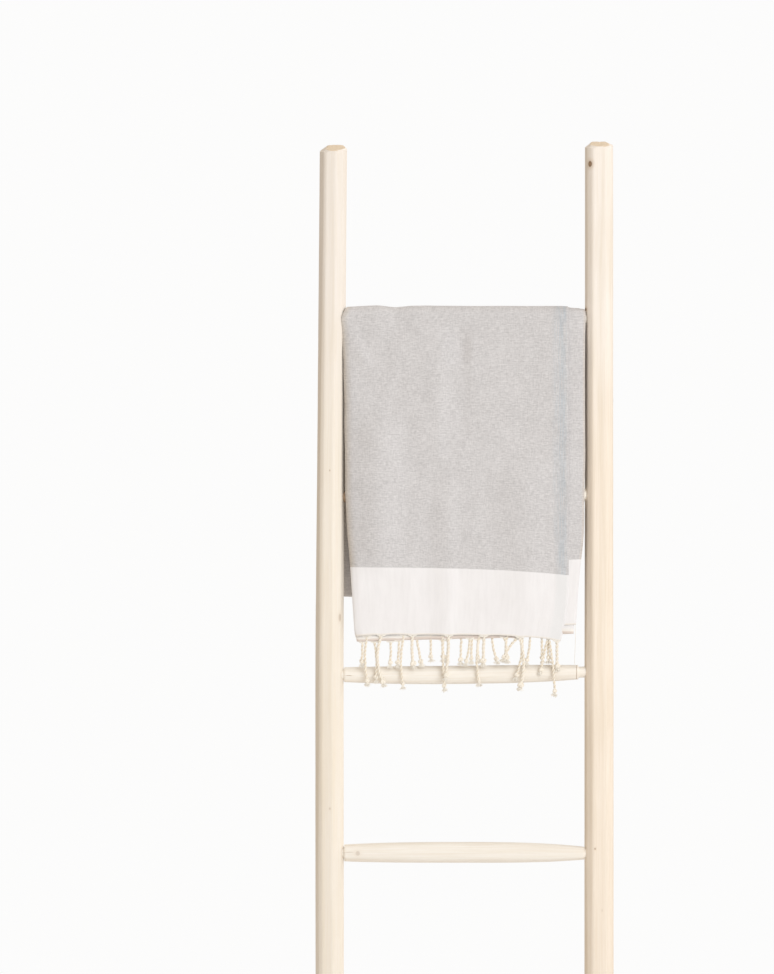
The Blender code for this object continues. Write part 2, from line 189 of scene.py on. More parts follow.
# The outer pass of the strip, from the fold behind, over the rung, to the foot of the fringe.
# forward: of the layer next to the rung, from the rung's axis; pitch: from layer to layer.
Station = namedtuple("Station", "run forward pitch left right selvedge")
OUTER = table(
    Station,
    (-0.47, 0.0135, 0.0018, -0.1945, 0.174, 0.156),
    (-0.16, 0.0142, 0.0013, -0.19, 0.182, 0.158),
    (-0.029, 0.0145, 0.0011, -0.1852, 0.1852, 0.159),
    (0.0, 0.0145, 0.0011, -0.1852, 0.1862, 0.16),
    (0.014, 0.0145, 0.0011, -0.189, 0.1867, 0.1606),
    (0.029, 0.0145, 0.0011, -0.1944, 0.1866, 0.1606),
    (0.09, 0.0194, 0.0011, -0.1908, 0.1854, 0.1606),
    (0.157, 0.0229, 0.0012, -0.1884, 0.1855, 0.1606),
    (0.23, 0.0266, 0.0013, -0.188, 0.1855, 0.1606),
    (0.306, 0.0311, 0.0014, -0.1868, 0.1848, 0.1606),
    (0.356, 0.033, 0.0013, -0.1846, 0.1839, 0.1606),
    (0.406, 0.0353, 0.0012, -0.1806, 0.1818, 0.1606),
    (0.45, 0.0373, 0.0011, -0.1771, 0.1776, 0.1598),
    (0.49, 0.0397, 0.001, -0.1741, 0.1737, 0.1572),
    (0.522, 0.0415, 0.001, -0.1719, 0.1719, 0.1515),
    (HEM_RUN, 0.0417, 0.001, -0.169, 0.1712, 0.1486),
    (0.586, 0.0445, 0.001, -0.1665, 0.1692, 0.1482),
    (0.608, 0.0448, 0.001, -0.166, 0.169, 0.148),
)

# How much further in than the outer pass the inner one's folds lie.
Inset = namedtuple("Inset", "run left right")
INNER_INSETS = table(
    Inset,
    (-0.47, 0.0, 0.0),
    (-0.3, 0.001, 0.001),
    (-0.029, 0.001, 0.001),
    (0.0, 0.001, 0.001),
    (0.014, 0.0045, 0.002),
    (0.029, 0.01, 0.0025),
    (0.09, 0.006, 0.0012),
    (0.15, 0.001, 0.0012),
    (0.406, 0.0008, 0.003),
    (0.608, 0.0008, 0.004),
)

# The cloth's upper edge: its height above the rung's axis, which rises and dips along the rung.
Edge = namedtuple("Edge", "x height")
TOP_EDGE = table(
    Edge,
    (-0.188, 0.0174), (-0.18, 0.0181), (-0.162, 0.0191), (-0.15, 0.0198),
    (-0.138, 0.0202), (-0.129, 0.0194), (-0.121, 0.0183), (-0.11, 0.0173),
    (-0.101, 0.0182), (-0.084, 0.0197), (-0.06, 0.0201), (-0.036, 0.0198),
    (0.022, 0.0196), (0.057, 0.0199), (0.099, 0.0198), (0.148, 0.02),
    (0.158, 0.0196), (0.164, 0.0187), (0.17, 0.0178), (0.176, 0.0177),
    (0.182, 0.0166), (0.189, 0.015),
)

# Soft ridges (rise above zero) and troughs of the hanging front, from their tops to their feet, with
# the reach of their left and right sides. all_layers: whether the layers below go with the front one.
Crease = namedtuple("Crease", "top_x top_z foot_x foot_z left right rise all_layers")
CREASES = table(
    Crease,
    (-0.026, 1.165, -0.029, 0.64, 0.034, 0.02, 0.0035, True),  # the long ridge to the hem
    (0.0935, 1.17, 0.097, 0.88, 0.06, 0.045, 0.0048, True),
    (-0.045, 1.42, -0.045, 1.12, 0.125, 0.024, 0.0056, True),
    (-0.012, 1.425, -0.008, 1.28, 0.026, 0.022, -0.008, True),
    (-0.006, 1.3, -0.004, 1.17, 0.02, 0.016, -0.0014, True),
    (-0.19, 1.388, -0.152, 1.285, 0.022, 0.012, 0.0027, True),  # down from the left corner
    (-0.105, 1.33, -0.126, 1.23, 0.02, 0.016, 0.0011, False),
    (-0.134, 1.24, -0.137, 0.955, 0.048, 0.05, 0.0105, True),  # the left edge falls away
    (0.17, 1.384, 0.161, 1.366, 0.006, 0.004, 0.0016, False),  # in the right corner
    (0.162, 1.39, 0.16, 1.29, 0.016, 0.014, 0.0016, False),
    (0.164, 1.19, 0.16, 1.03, 0.02, 0.014, 0.0022, True),
    (-0.085, 1.08, -0.082, 0.9, 0.028, 0.02, 0.0012, True),
)
BACK_CREASES = table(
    Crease,
    (-0.07, 1.33, -0.09, 0.9, 0.04, 0.024, 0.003, True),
    (0.06, 1.3, 0.085, 0.88, 0.05, 0.03, 0.0026, True),
    (0.15, 1.36, 0.1, 1.2, 0.022, 0.014, 0.0018, True),
    (-0.145, 1.2, -0.13, 0.9, 0.03, 0.04, -0.0012, True),
    (0.0, 1.38, -0.015, 1.15, 0.03, 0.034, -0.0014, True),
)
CREASE_END = 0.22  # the share of a crease's length over which it rises, and falls again

# How far the folded edges curve back before they turn round, and from how far in: by the rung and below.
EDGE_ROLL = (0.003, 0.0056)
EDGE_REACH = (0.013, 0.016)
EDGE_BEND = (0.0026, 0.0011)  # the radius of that last turn, and by the hem
HEM_FLARE = 0.0003  # how far the front hem stands off the one beneath
CORD_PULL = 0.0011  # how far each fringe cord draws the hem down

# How much higher the outer pass's weft hangs than at the front selvedge: at the white band's border, and
# at the hem, where the front panel's corner by the fold droops again.
Rise = namedtuple("Rise", "u border hem")
BORDER_RUN = 0.43
RISES = table(
    Rise,
    (0.0, 0.0, 0.0), (0.028, 0.0026, 0.0031), (0.054, 0.0045, 0.0053),
    (0.08, 0.0062, 0.0068), (0.105, 0.0076, 0.0079), (0.157, 0.0094, 0.0085),
    (0.226, 0.0108, 0.0087), (0.277, 0.0113, 0.0088), (0.318, 0.0115, 0.0086),
    (0.352, 0.0117, 0.006), (0.4, 0.0134, 0.0085), (0.727, 0.0249, 0.0249),
    (1.0, 0.034, 0.034),
)

# ---- the fringe ----

# Each twisted cord: where its top, middle and foot hang sideways, and the height of its frayed tip.
Cord = namedtuple("Cord", "top middle foot tip")

# Each panel's end: on which pass it lies, from where to where in the flat cloth, and its hem's cords.
Panel = namedtuple("Panel", "name outer first_u last_u cords")
PANELS = (
    Panel("outer_front", True, *PANEL_SPANS[0], table(
        Cord, (0.1425, 0.1428, 0.1428, 0.816), (0.0846, 0.0906, 0.0862, 0.7864),
        (0.0288, 0.0283, 0.0277, 0.8237), (-0.0264, -0.0271, -0.0305, 0.802),
        (-0.0824, -0.083, -0.0813, 0.8191), (-0.131, -0.1368, -0.129, 0.7911),
    )),
    Panel("outer_middle", True, *PANEL_SPANS[1], table(
        Cord, (-0.1531, -0.156, -0.1532, 0.7926), (-0.0957, -0.1002, -0.0973, 0.788),
        (-0.0357, -0.0347, -0.0327, 0.7848), (0.0219, 0.018, 0.0207, 0.7926),
        (0.089, 0.0868, 0.08, 0.802), (0.1305, 0.1362, 0.1391, 0.7771),
    )),
    Panel("outer_back", True, *PANEL_SPANS[2], table(
        Cord, (0.1277, 0.1222, 0.1176, 0.8098), (0.0655, 0.0627, 0.0647, 0.8284),
        (0.0109, 0.0098, 0.0096, 0.8268), (-0.0535, -0.0537, -0.0535, 0.83),
    )),
    Panel("inner_front", False, *PANEL_SPANS[0], table(
        Cord, (0.129, 0.129, 0.1295, 0.8284), (0.0797, 0.068, 0.0602, 0.83),
        (0.0198, 0.0194, 0.0197, 0.8284), (-0.0345, -0.035, -0.0345, 0.83),
        (-0.1163, -0.116, -0.1169, 0.8206), (-0.1413, -0.1381, -0.139, 0.7973),
    )),
    Panel("inner_middle", False, *PANEL_SPANS[1], table(
        Cord, (-0.16, -0.1604, -0.161, 0.8222), (-0.1032, -0.1038, -0.1051, 0.8206),
        (-0.0275, -0.0272, -0.0285, 0.8284), (0.007, 0.005, 0.0014, 0.8237),
        (0.06, 0.064, 0.0635, 0.8315), (0.119, 0.1195, 0.12, 0.8284),
    )),
    Panel("inner_back", False, *PANEL_SPANS[2], table(
        Cord, (0.1008, 0.0992, 0.0961, 0.8253), (0.0423, 0.0433, 0.0488, 0.8268),
        (-0.0062, -0.0068, -0.0072, 0.8253), (-0.0765, -0.0728, -0.0689, 0.8222),
    )),
)
CORD_RADIUS = 0.0023
PLY_RADIUS = 0.00126
NEAR_CORDS = 1.14  # how much thicker the foremost cords are
FAR_CORDS = 0.94  # and the others
TWIST_PITCH = 0.0125
MOUTH_DROP = 0.001  # how far below the hem a cord's twist begins
SWAG_DROP = 0.0008  # how far below the hem its warp threads run towards it
ROOT_THREADS = 8  # to either side of a cord
ROOT_RADIUS = 0.00052
GROUP_WIDTH = 0.0075  # the most that a cord gathers from, to either side
THREAD_RADIUS = 0.00038
TUFT_LENGTH = 0.0078
TUFT_THREADS = 40
KNOT_SIZE = 0.00105
KNOT_STRAND = 0.00165
KNOT_TONE = 0.0021  # how far out of its cord's middle a knot counts as lying, for how much painted crevice shade it gets
FRONT_REACH = 0.0022  # how much further forward a cord's foot hangs than its top where it meets the rung
BEHIND_HEM = 0.0015  # how far below the foremost hem the hidden cords begin
LOOSE_LENGTH = 0.062  # of the one loose thread


# ---- small helpers ----


def smooth(share):
    share = min(max(share, 0.0), 1.0)
    return share * share * (3 - 2 * share)


def blend(first, second, share):
    return first * (1 - share) + second * share


def ripple(a, b, size, seed):
    """Gentle unevenness between about -1 and 1, in patches of a size."""
    return 1.6 * noise.noise(Vector((a / size, b / size, seed * 7.3)))


def read(rows, place, column, ease=float):
    """A column of a table at a place in its first one, straight or eased between its rows."""
    if place <= rows[0][0]:
        return getattr(rows[0], column)
    for low, high in zip(rows, rows[1:]):
        if place <= high[0]:
            share = ease((place - low[0]) / (high[0] - low[0]))
            return blend(getattr(low, column), getattr(high, column), share)
    return getattr(rows[-1], column)


def ladder_y(height):
    """The depth of the ladder's axes at a height."""
    return REACH_BACK - WALL + height * math.tan(LEAN)


def link_object(name, data):
    """A new object at the origin, in the scene."""
    obj = bpy.data.objects.new(name, data)
    bpy.context.scene.collection.objects.link(obj)
    return obj


def take_mesh(name, bm):
    """A new mesh of what a bmesh holds."""
    mesh = bpy.data.meshes.new(name)
    bm.to_mesh(mesh)
    bm.free()
    return mesh


def grid_faces(rows, columns, closed):
    """Four-sided faces between rows of points; a closed row's last point joins its first."""
    faces = []
    for row in range(rows - 1):
        for column in range(columns if closed else columns - 1):
            here = row * columns + column
            after = row * columns + (column + 1) % columns
            faces.append((here, after, after + columns, here + columns))
    return faces


def bake(obj, name):
    """Turns what an object's modifiers make into a plain mesh object."""
    bpy.context.view_layer.update()
    mesh = bpy.data.meshes.new_from_object(obj.evaluated_get(bpy.context.evaluated_depsgraph_get()))
    bpy.data.objects.remove(obj, do_unlink=True)
    return link_object(name, mesh)


# ---- camera, light and floor ----


def make_camera():
    lens = bpy.data.cameras.new("photo_camera")
    lens.sensor_width = SENSOR
    lens.lens = SENSOR * FOCAL_PIXELS / PHOTO_HEIGHT
    lens.clip_end = 100.0
    camera = link_object("photo_camera", lens)
    camera.location = CAMERA_PLACE
    camera.rotation_euler = (math.pi / 2, CAMERA_ROLL, 0)
    bpy.context.scene.camera = camera


# A broad, far softbox: where it stands from the object, how wide it looks, how strong it shines.
Lamp = namedtuple("Lamp", "name way width strength colour")
LAMPS = (
    Lamp("high_softbox", (0.35, -0.785, 0.51), 55.0, 0.775, (0.94, 1.0, 1.06)),
    Lamp("low_softbox", (0.405, -0.91, -0.08), 55.0, 1.1, (0.94, 1.0, 1.06)),
    Lamp("back_softbox", (0.72, 0.52, 0.46), 45.0, 0.9, (1.0, 0.99, 0.97)),
    Lamp("top_softbox", (0.05, -0.1, 0.99), 40.0, 0.36, (0.98, 1.0, 1.02)),
)
AMBIENT = (1.0, 0.885, 0.75)
AMBIENT_STRENGTH = 0.515
BACKDROP = (0.975, 0.973, 0.97)
FLOOR_COLOUR = (0.86, 0.855, 0.85)
FLOOR_RADIUS = 1.9


def make_lamp(lamp):
    light = bpy.data.lights.new(lamp.name, "SUN")
    light.angle = math.radians(lamp.width)
    light.energy = lamp.strength
    light.color = lamp.colour
    obj = link_object(lamp.name, light)
    obj.location = 4.0 * Vector(lamp.way)
    obj.rotation_euler = Vector(lamp.way).to_track_quat("Z", "Y").to_euler()


def make_surroundings():
    """White behind the object for the camera, and a softer, warmer light from all round."""
    world = bpy.data.worlds.new("studio")
    world.use_nodes = True
    tree = world.node_tree
    tree.nodes.clear()
    lit = add_node(tree, "ShaderNodeBackground", {"Color": AMBIENT, "Strength": AMBIENT_STRENGTH})
    seen = add_node(tree, "ShaderNodeBackground", {"Color": BACKDROP, "Strength": 1.0})
    by_camera = add_node(tree, "ShaderNodeLightPath").out("Is Camera Ray")
    mixed = add_node(tree, "ShaderNodeMixShader", {0: by_camera, 1: lit, 2: seen})
    add_node(tree, "ShaderNodeOutputWorld", {"Surface": mixed})
    scene = bpy.context.scene
    scene.world = world
    scene.view_settings.view_transform = "Standard"
    scene.view_settings.look = "None"


def make_floor():
    bm = bmesh.new()
    bmesh.ops.create_circle(bm, cap_ends=True, segments=96, radius=FLOOR_RADIUS)
    floor = link_object("floor", take_mesh("floor", bm))
    floor.data.materials.append(new_material("pale_floor", FLOOR_COLOUR, 0.9))


# ---- node trees ----


class Value:
    """One output of a node. Sums and products of values are maths nodes in the same tree."""

    def __init__(self, tree, socket):
        self.tree = tree
        self.socket = socket

    def out(self, key):
        """Another output of the same node."""
        return Value(self.tree, self.socket.node.outputs[key])

    def maths(self, operation, *others):
        return add_node(self.tree, "ShaderNodeMath", dict(enumerate((self, *others))), operation=operation)

    def __add__(self, other):
        return self.maths("ADD", other)

    def __sub__(self, other):
        return self.maths("SUBTRACT", other)

    def __rsub__(self, other):
        return add_node(self.tree, "ShaderNodeMath", {0: other, 1: self}, operation="SUBTRACT")

    def __mul__(self, other):
        return self.maths("MULTIPLY", other)

    def __truediv__(self, other):
        return self.maths("DIVIDE", other)

    def ramp(self, low, high, start=0.0, end=1.0):
        """Goes smoothly from start to end as this value goes from low to high."""
        inputs = {"Value": self, "From Min": low, "From Max": high, "To Min": start, "To Max": end}
        return add_node(self.tree, "ShaderNodeMapRange", inputs, interpolation_type="SMOOTHSTEP")

    def mix(self, first, second, way="MIX"):
        """Two colours, with this value as the second one's share."""
        inputs = {"Factor_Float": self, "A_Color": first, "B_Color": second}
        return add_node(self.tree, "ShaderNodeMix", inputs, data_type="RGBA", blend_type=way).out(2)

    def vector(self, operation, other):
        inputs = {0: self, "Scale" if operation == "SCALE" else 1: other}
        return add_node(self.tree, "ShaderNodeVectorMath", inputs, operation=operation)


def find_socket(node, key):
    """A node's input by its number, its name or, where a hidden one shares that, its identifier."""
    if isinstance(key, int):
        return node.inputs[key]
    named = [socket for socket in node.inputs if socket.name == key and socket.enabled]
    return named[0] if named else next(socket for socket in node.inputs if socket.identifier == key)


def add_node(tree, kind, inputs=None, **settings):
    """A node with its settings, its inputs linked from values or set. Gives its first output."""
    node = tree.nodes.new(kind)
    for name, setting in settings.items():
        setattr(node, name, setting)
    for key, entry in (inputs or {}).items():
        socket = find_socket(node, key)
        if isinstance(entry, Value):
            tree.links.new(entry.socket, socket)
        else:
            socket.default_value = (*entry, 1.0) if socket.type == "RGBA" else entry
    return Value(tree, node.outputs[0] if node.outputs else None)


def combine(x, y, z=0.0):
    return add_node(x.tree, "ShaderNodeCombineXYZ", {"X": x, "Y": y, "Z": z})


def streaks(across, along, across_scale, along_scale, detail, shift):
    """Noise on a surface's own two directions, each at its own scale, from 0 to 1."""
    place = combine(across * across_scale, along * along_scale, shift)
    return add_node(across.tree, "ShaderNodeTexNoise", {"Vector": place, "Scale": 1.0, "Detail": detail})


def own_uv(tree, name):
    """A surface's own two directions."""
    uv = add_node(tree, "ShaderNodeUVMap", uv_map=name)
    parts = add_node(tree, "ShaderNodeSeparateXYZ", {0: uv})
    return parts, parts.out("Y")


def new_material(name, colour, roughness, finish=None):
    """A material whose shader has plain values: its colour, roughness and what else finish names."""
    material = bpy.data.materials.new(name)
    material.use_nodes = True
    shader = material.node_tree.nodes["Principled BSDF"]
    for socket, value in {"Base Color": (*colour, 1), "Roughness": roughness, **(finish or {})}.items():
        shader.inputs[socket].default_value = value
    return material


def paint(material, colour, height, strength, distance):
    """Gives a material's shader a colour that varies, and a relief from a height."""
    tree = material.node_tree
    bump = add_node(tree, "ShaderNodeBump", {"Strength": strength, "Distance": distance, "Height": height})
    for name, value in (("Base Color", colour), ("Normal", bump)):
        tree.links.new(value.socket, tree.nodes["Principled BSDF"].inputs[name])
    return material


# ---- wood ----

WOOD_UV = "grain"
WOOD_PALE = (0.905, 0.84, 0.775)
WOOD_WARM = (0.835, 0.745, 0.63)
WOOD_CREAM = (0.935, 0.893, 0.828)
WOOD_SAWN = (0.86, 0.715, 0.54)
SAWN_RINGS = (0.62, 0.47, 0.31)
KNOT_AND_SHADOW_BROWN = (0.25, 0.15, 0.08)
KNOT_AND_SHADOW_RIM = (0.62, 0.45, 0.29)
FOOT_HEIGHTS = (1.12, 1.42)  # between these a pole's colour changes to that of its foot


def make_wood(name, pale, marks, radius, seed, foot=None):
    """Peeled wood: long faint fibres, warmer patches, the piece's own knots and specks, and spots of
    painted shadow in gaps.

    foot: what a pole's colour is multiplied by at its lower end.
    """
    material = new_material(name, pale, 0.62, {"Specular IOR Level": 0.3})
    around, along = own_uv(material.node_tree, WOOD_UV)
    shifted = around + streaks(around, along, 30.0, 4.0, 1.0, seed) * 0.006
    broad = streaks(shifted, along, 95.0, 2.2, 3.0, seed + 1)
    fibre = streaks(shifted, along, 540.0, 11.0, 3.0, seed + 2)
    patch = streaks(around, along, 16.0, 5.0, 2.0, seed + 3)
    warm = broad.ramp(0.44, 0.72, 0.0, 0.42) + patch.ramp(0.48, 0.75, 0.0, 0.3)
    colour = warm.maths("MINIMUM", 1.0).mix(pale, WOOD_WARM)
    colour = fibre.ramp(0.38, 0.66, 0.0, 0.34).mix(colour, WOOD_WARM)
    if foot:
        colour = along.ramp(*FOOT_HEIGHTS, 1.0, 0.0).mix(colour, foot, "MULTIPLY")
    height = fibre + broad * 0.6
    for mark in marks:
        off_around = (around - math.radians(mark.around) * radius) / mark.wide
        off_along = (along - mark.along) / mark.long
        off = (off_around * off_around + off_along * off_along).maths("SQRT") + fibre * 0.3
        # each mark paints a knot, speck or crack, or painted shadow in a gap
        colour = off.ramp(0.8, 2.6, mark.dark * 0.45, 0.0).mix(colour, KNOT_AND_SHADOW_RIM)
        colour = off.ramp(0.75, 1.2, mark.dark, 0.0).mix(colour, KNOT_AND_SHADOW_BROWN)
        colour = off.ramp(0.2, 0.7, mark.dark * 0.4, 0.0).mix(colour, KNOT_AND_SHADOW_RIM)
        height = height + off.ramp(0.9, 1.2, -mark.dark, 0.0)
    return paint(material, colour, height, 0.35, 0.0006)


def make_sawn_end(name, centre):
    """A sawn end: faint year rings round the pith, and the saw's fine scoring."""
    material = new_material(name, WOOD_SAWN, 0.8)
    tree = material.node_tree
    place = add_node(tree, "ShaderNodeTexCoord").out("Object")
    centred = add_node(tree, "ShaderNodeMapping", {"Vector": place, "Location": tuple(-centre)})
    wobble = add_node(tree, "ShaderNodeTexNoise", {"Vector": centred, "Scale": 90.0, "Detail": 3.0})
    x = add_node(tree, "ShaderNodeSeparateXYZ", {0: centred})
    y = x.out("Y")
    out = (x * x + y * y).maths("SQRT") * 2600.0 + wobble * 3.0
    rings = out.maths("SINE") * 0.5 + 0.5
    rough = add_node(tree, "ShaderNodeTexNoise", {"Vector": centred, "Scale": 420.0, "Detail": 4.0})
    colour = (rings * 0.45).mix(WOOD_SAWN, SAWN_RINGS)
    colour = rough.ramp(0.45, 0.75, 0.0, 0.45).mix(colour, WOOD_PALE)
    return paint(material, colour, rough, 0.5, 0.0006)


def shaved(flats, around, along, seed):
    """How far out the shaved surface lies, as a share of the radius, in a direction in degrees."""
    share = 1.0
    for index, flat in enumerate(flats):
        swing = 5.0 * ripple(along, index, 0.45, seed)
        off = math.cos(math.radians(around - flat.around - swing))
        if off > 0.5:
            depth = flat.share + 0.012 * ripple(along, index + 40, 0.3, seed + 2)
            share = min(share, depth / off)
    return share


def ring_angles(sides):
    """Directions round a piece, in degrees, from behind and round by the front, which is 0."""
    return [360.0 * (side / sides - 0.5) for side in range(sides)]


def loft(name, rings, material):
    """A closed piece through closed rings of points, each point given with its grain UV."""
    sides = len(rings[0])
    points, uvs = zip(*[entry for ring in rings for entry in ring])
    verts = list(points)
    faces = grid_faces(len(rings), sides, True)
    for first in (0, len(points) - sides):
        verts.append(sum(points[first:first + sides], Vector()) / sides)
        faces += [(first + side, first + (side + 1) % sides, len(verts) - 1) for side in range(sides)]
    mesh = bpy.data.meshes.new(name)
    mesh.from_pydata(verts, [], faces)
    bm = bmesh.new()
    bm.from_mesh(mesh)
    bmesh.ops.recalc_face_normals(bm, faces=bm.faces)
    bm.to_mesh(mesh)
    bm.free()
    mesh.shade_smooth()
    mesh.materials.append(material)
    layer = mesh.uv_layers.new(name=WOOD_UV)
    whole = uvs[sides - 1][0] - uvs[0][0]
    for polygon in mesh.polygons:
        spots = [mesh.loops[index].vertex_index for index in polygon.loop_indices]
        known = [uvs[spot] for spot in spots if spot < len(uvs)]
        wraps = max(known)[0] - min(known)[0] > whole / 2
        for index, spot in zip(polygon.loop_indices, spots):
            across, along = uvs[spot] if spot < len(uvs) else known[0]
            if wraps and across < 0:
                across += whole * sides / (sides - 1)
            layer.data[index].uv = (across, along)
    return link_object(name, mesh)


def rim_cut(rims, around):
    """How wide and how high the whittled rim is in a direction, eased between those that are given."""
    rows = rims + (rims[0]._replace(around=rims[0].around + 360),)
    turned = around if around >= rims[0].around else around + 360
    return read(rows, turned, "wide", smooth), read(rows, turned, "high", smooth)


STILE_SIDES = 72
STILE_STEP = 0.0045
STILE_TOP_STEP = 0.0008
STILE_TOP = 0.024
KNOT_WIDTH = 0.003  # the pole swells at a wider mark than this, as at a knot; the painted shadow by the top rung is that wide too
SWELL_REACH = 0.011
SWELL_RISE = 0.0006
SAWN_DEPTH = 0.0009  # the sawn face's points lie no further than this from its plane
SAWN_ROUGHNESS = 0.00035


def stile_x(stile, z):
    bent, straight = (math.hypot(height - BOW_MIDDLE, BOW_EASE) for height in (z, BOW_TOP))
    return stile.x + stile.bow * (bent - straight)


def stile_thick(stile, z):
    """A pole's radius at a height, before its flats are shaved."""
    return stile.radius * (1 + FOOT_SWELL * smooth((1.25 - z) / 0.5))


def stile_radius(stile, around, z):
    """The pole's radius in a direction at a height, with its flats, swellings at knots and top cuts."""
    radius = stile_thick(stile, z) * shaved(stile.flats, around, z, stile.seed)
    radius += 0.00012 * ripple(z, around / 40, 0.05, stile.seed + 5)
    for mark in stile.marks:
        if mark.wide > KNOT_WIDTH:
            off_around = math.radians((around - mark.around + 180) % 360 - 180) * stile.radius
            away = math.hypot(off_around, z - mark.along) / SWELL_REACH
            radius += SWELL_RISE * math.exp(-away * away)
    wide, high = rim_cut(stile.rims, around)
    below = max(1 - (stile.height - z) / high, 0.0)
    radius = min(radius, stile.radius * 0.96 - wide * below ** 0.85) if below > 0 else radius
    radius -= 0.0008 * (1 - smooth(z / 0.004))
    return min(radius, stile_thick(stile, z))


def make_stile(stile):
    heights = []
    z = 0.0
    while z < stile.height - STILE_TOP:
        heights.append(z)
        z += STILE_STEP
    steps = int(STILE_TOP / STILE_TOP_STEP)
    heights += [stile.height - STILE_TOP + STILE_TOP * step / steps for step in range(steps + 1)]
    top_y = ladder_y(stile.height)
    tilt = math.tan(math.radians(stile.cut))
    rings = []
    for z in heights:
        lift = smooth((z - stile.height + 0.02) / 0.02) * tilt
        rings.append([])
        for around in ring_angles(STILE_SIDES):
            angle = math.radians(around)
            radius = stile_radius(stile, around, z)
            x = stile_x(stile, z) + radius * math.sin(angle)
            y = min(ladder_y(z) - radius * math.cos(angle) / math.cos(LEAN), WALL)
            rings[-1].append((Vector((x, y, z + lift * (y - top_y))), (angle * stile.radius, z)))
    pale = tuple(part * stile.tone for part in WOOD_PALE)
    wood = make_wood("peeled_wood_" + stile.name, pale, stile.marks, stile.radius, stile.seed, stile.foot)
    pole = loft(stile.name + "_pole", rings, wood)
    finish_top(pole, stile, tilt, Vector((stile_x(stile, stile.height), top_y, stile.height)))
    return drill(pole, stile)


def finish_top(pole, stile, tilt, centre):
    """The sawn face gets rings of its own, slightly rough, in the end-grain finish."""
    pole.data.materials.append(make_sawn_end("sawn_end_" + stile.name, centre))
    bm = bmesh.new()
    bm.from_mesh(pole.data)
    top = [face for face in bm.faces if len(face.verts) == 3 and face.calc_center_median().z > 1.0]
    edges = {edge for face in top for edge in face.edges if all(part in top for part in edge.link_faces)}
    bmesh.ops.subdivide_edges(bm, edges=list(edges), cuts=4)
    for face in bm.faces:
        above = [vert.co.z - centre.z - (vert.co.y - centre.y) * tilt for vert in face.verts]
        flat = max(abs(height) for height in above) < SAWN_DEPTH
        if flat and face.calc_center_median().z > 1.0 and face.normal.z > 0.6:
            face.material_index = 1
    for vert in bm.verts:
        if all(face.material_index == 1 for face in vert.link_faces):
            vert.co.z += SAWN_ROUGHNESS * ripple(vert.co.x, vert.co.y, 0.0035, stile.seed)
    bm.to_mesh(pole.data)
    bm.free()


def drill(pole, stile):
    """Holes for the five tenons, a seat gap wider than they are."""
    bm = bmesh.new()
    side = math.copysign(1.0, stile.x)
    wide = TENON_RADIUS + SEAT_GAP
    for rung in RUNGS:
        near = rung_point(rung, side * (STILE_FACE - STILE_RADIUS))
        far = rung_point(rung, side * (STILE_FACE + TENON_LENGTH + SEAT_GAP))
        place = (far - near).to_track_quat("Z", "Y").to_matrix().to_4x4()
        place.translation = (near + far) / 2
        bmesh.ops.create_cone(bm, cap_ends=True, segments=32, radius1=wide, radius2=wide,
                              depth=(far - near).length, matrix=place)
    cutter = link_object("tenon_holes", take_mesh("tenon_holes", bm))
    cut = pole.modifiers.new("tenon_holes", "BOOLEAN")
    cut.operation = "DIFFERENCE"
    cut.object = cutter
    drilled = bake(pole, pole.name)
    bpy.data.objects.remove(cutter, do_unlink=True)
    drilled.data.set_sharp_from_angle(angle=math.radians(38))
    return drilled


RUNG_SIDES = 48
RUNG_STEP = 0.0028
TENON_BEVEL = 0.0006


def rung_point(rung, x):
    """A rung's axis at a place along it: it may rise or sag between its ends."""
    share = x / STILE_FACE
    straight = blend(rung.left, rung.right, (share + 1) / 2)
    z = straight + (rung.middle - (rung.left + rung.right) / 2) * (1 - share * share)
    return Vector((x, ladder_y(z), z))


def rung_radius(rung, x):
    """Half a rung's thickness, before its flats are shaved. The top one gives way where the cloth dips."""
    share = min(abs(x) / (STILE_FACE - CHAMFER), 1.0)
    end = rung.left_thick if x < 0 else rung.right_thick
    radius = blend(rung.thick, end, share ** 3) / 2
    if rung is TOP_RUNG:
        radius = min(radius, cloth_radius(x) - CLOTH / 2 - SEAT_GAP)
    return radius


def make_rung(rung, index):
    tenon_end = STILE_FACE + TENON_LENGTH
    left = stile_x(STILES[0], rung.left) + stile_thick(STILES[0], rung.left) + SHOULDER_GAP
    right = stile_x(STILES[1], rung.right) - stile_thick(STILES[1], rung.right) - rung.bare
    body = right - left - 2 * CHAMFER
    steps = int(body / RUNG_STEP)
    # Where the rings stand, and the tenons' radius there; None on the shaved body.
    places = [(-tenon_end, TENON_RADIUS - TENON_BEVEL), (-tenon_end + TENON_BEVEL, TENON_RADIUS),
              (left, TENON_RADIUS), (left, None)]
    places += [(left + CHAMFER + body * step / steps, None) for step in range(steps + 1)]
    places += [(right, None), (right, TENON_RADIUS),
               (tenon_end - TENON_BEVEL, TENON_RADIUS), (tenon_end, TENON_RADIUS - TENON_BEVEL)]
    rings = []
    for x, plain in places:
        centre = rung_point(rung, x)
        edge = CHAMFER * (x in (left, right))
        rings.append([])
        for around in ring_angles(RUNG_SIDES):
            angle = math.radians(around)
            radius = plain
            if radius is None:
                whole = rung_radius(rung, x)
                cut = shaved(RUNG_FLATS, around - rung.turn, x * 1.6, index * 3 + 20)
                radius = whole * blend(blend(1.0, cut, 0.75), cut, (abs(x) / STILE_FACE) ** 2)
                radius += 0.0001 * ripple(x, around / 50, 0.03, index)
                radius = max(min(radius, whole) - edge, TENON_RADIUS + 0.0002)
            out = Vector((0, -radius * math.cos(angle), radius * math.sin(angle)))
            rings[-1].append((centre + out, (angle * rung.thick / 2, x)))
    wood = make_wood("peeled_wood_" + rung.name, WOOD_CREAM, rung.marks, rung.thick / 2, index * 5 + 30)
    piece = loft(rung.name + "_shaved", rings, wood)
    piece.data.set_sharp_from_angle(angle=math.radians(50))
    return piece


# ---- cloth ----

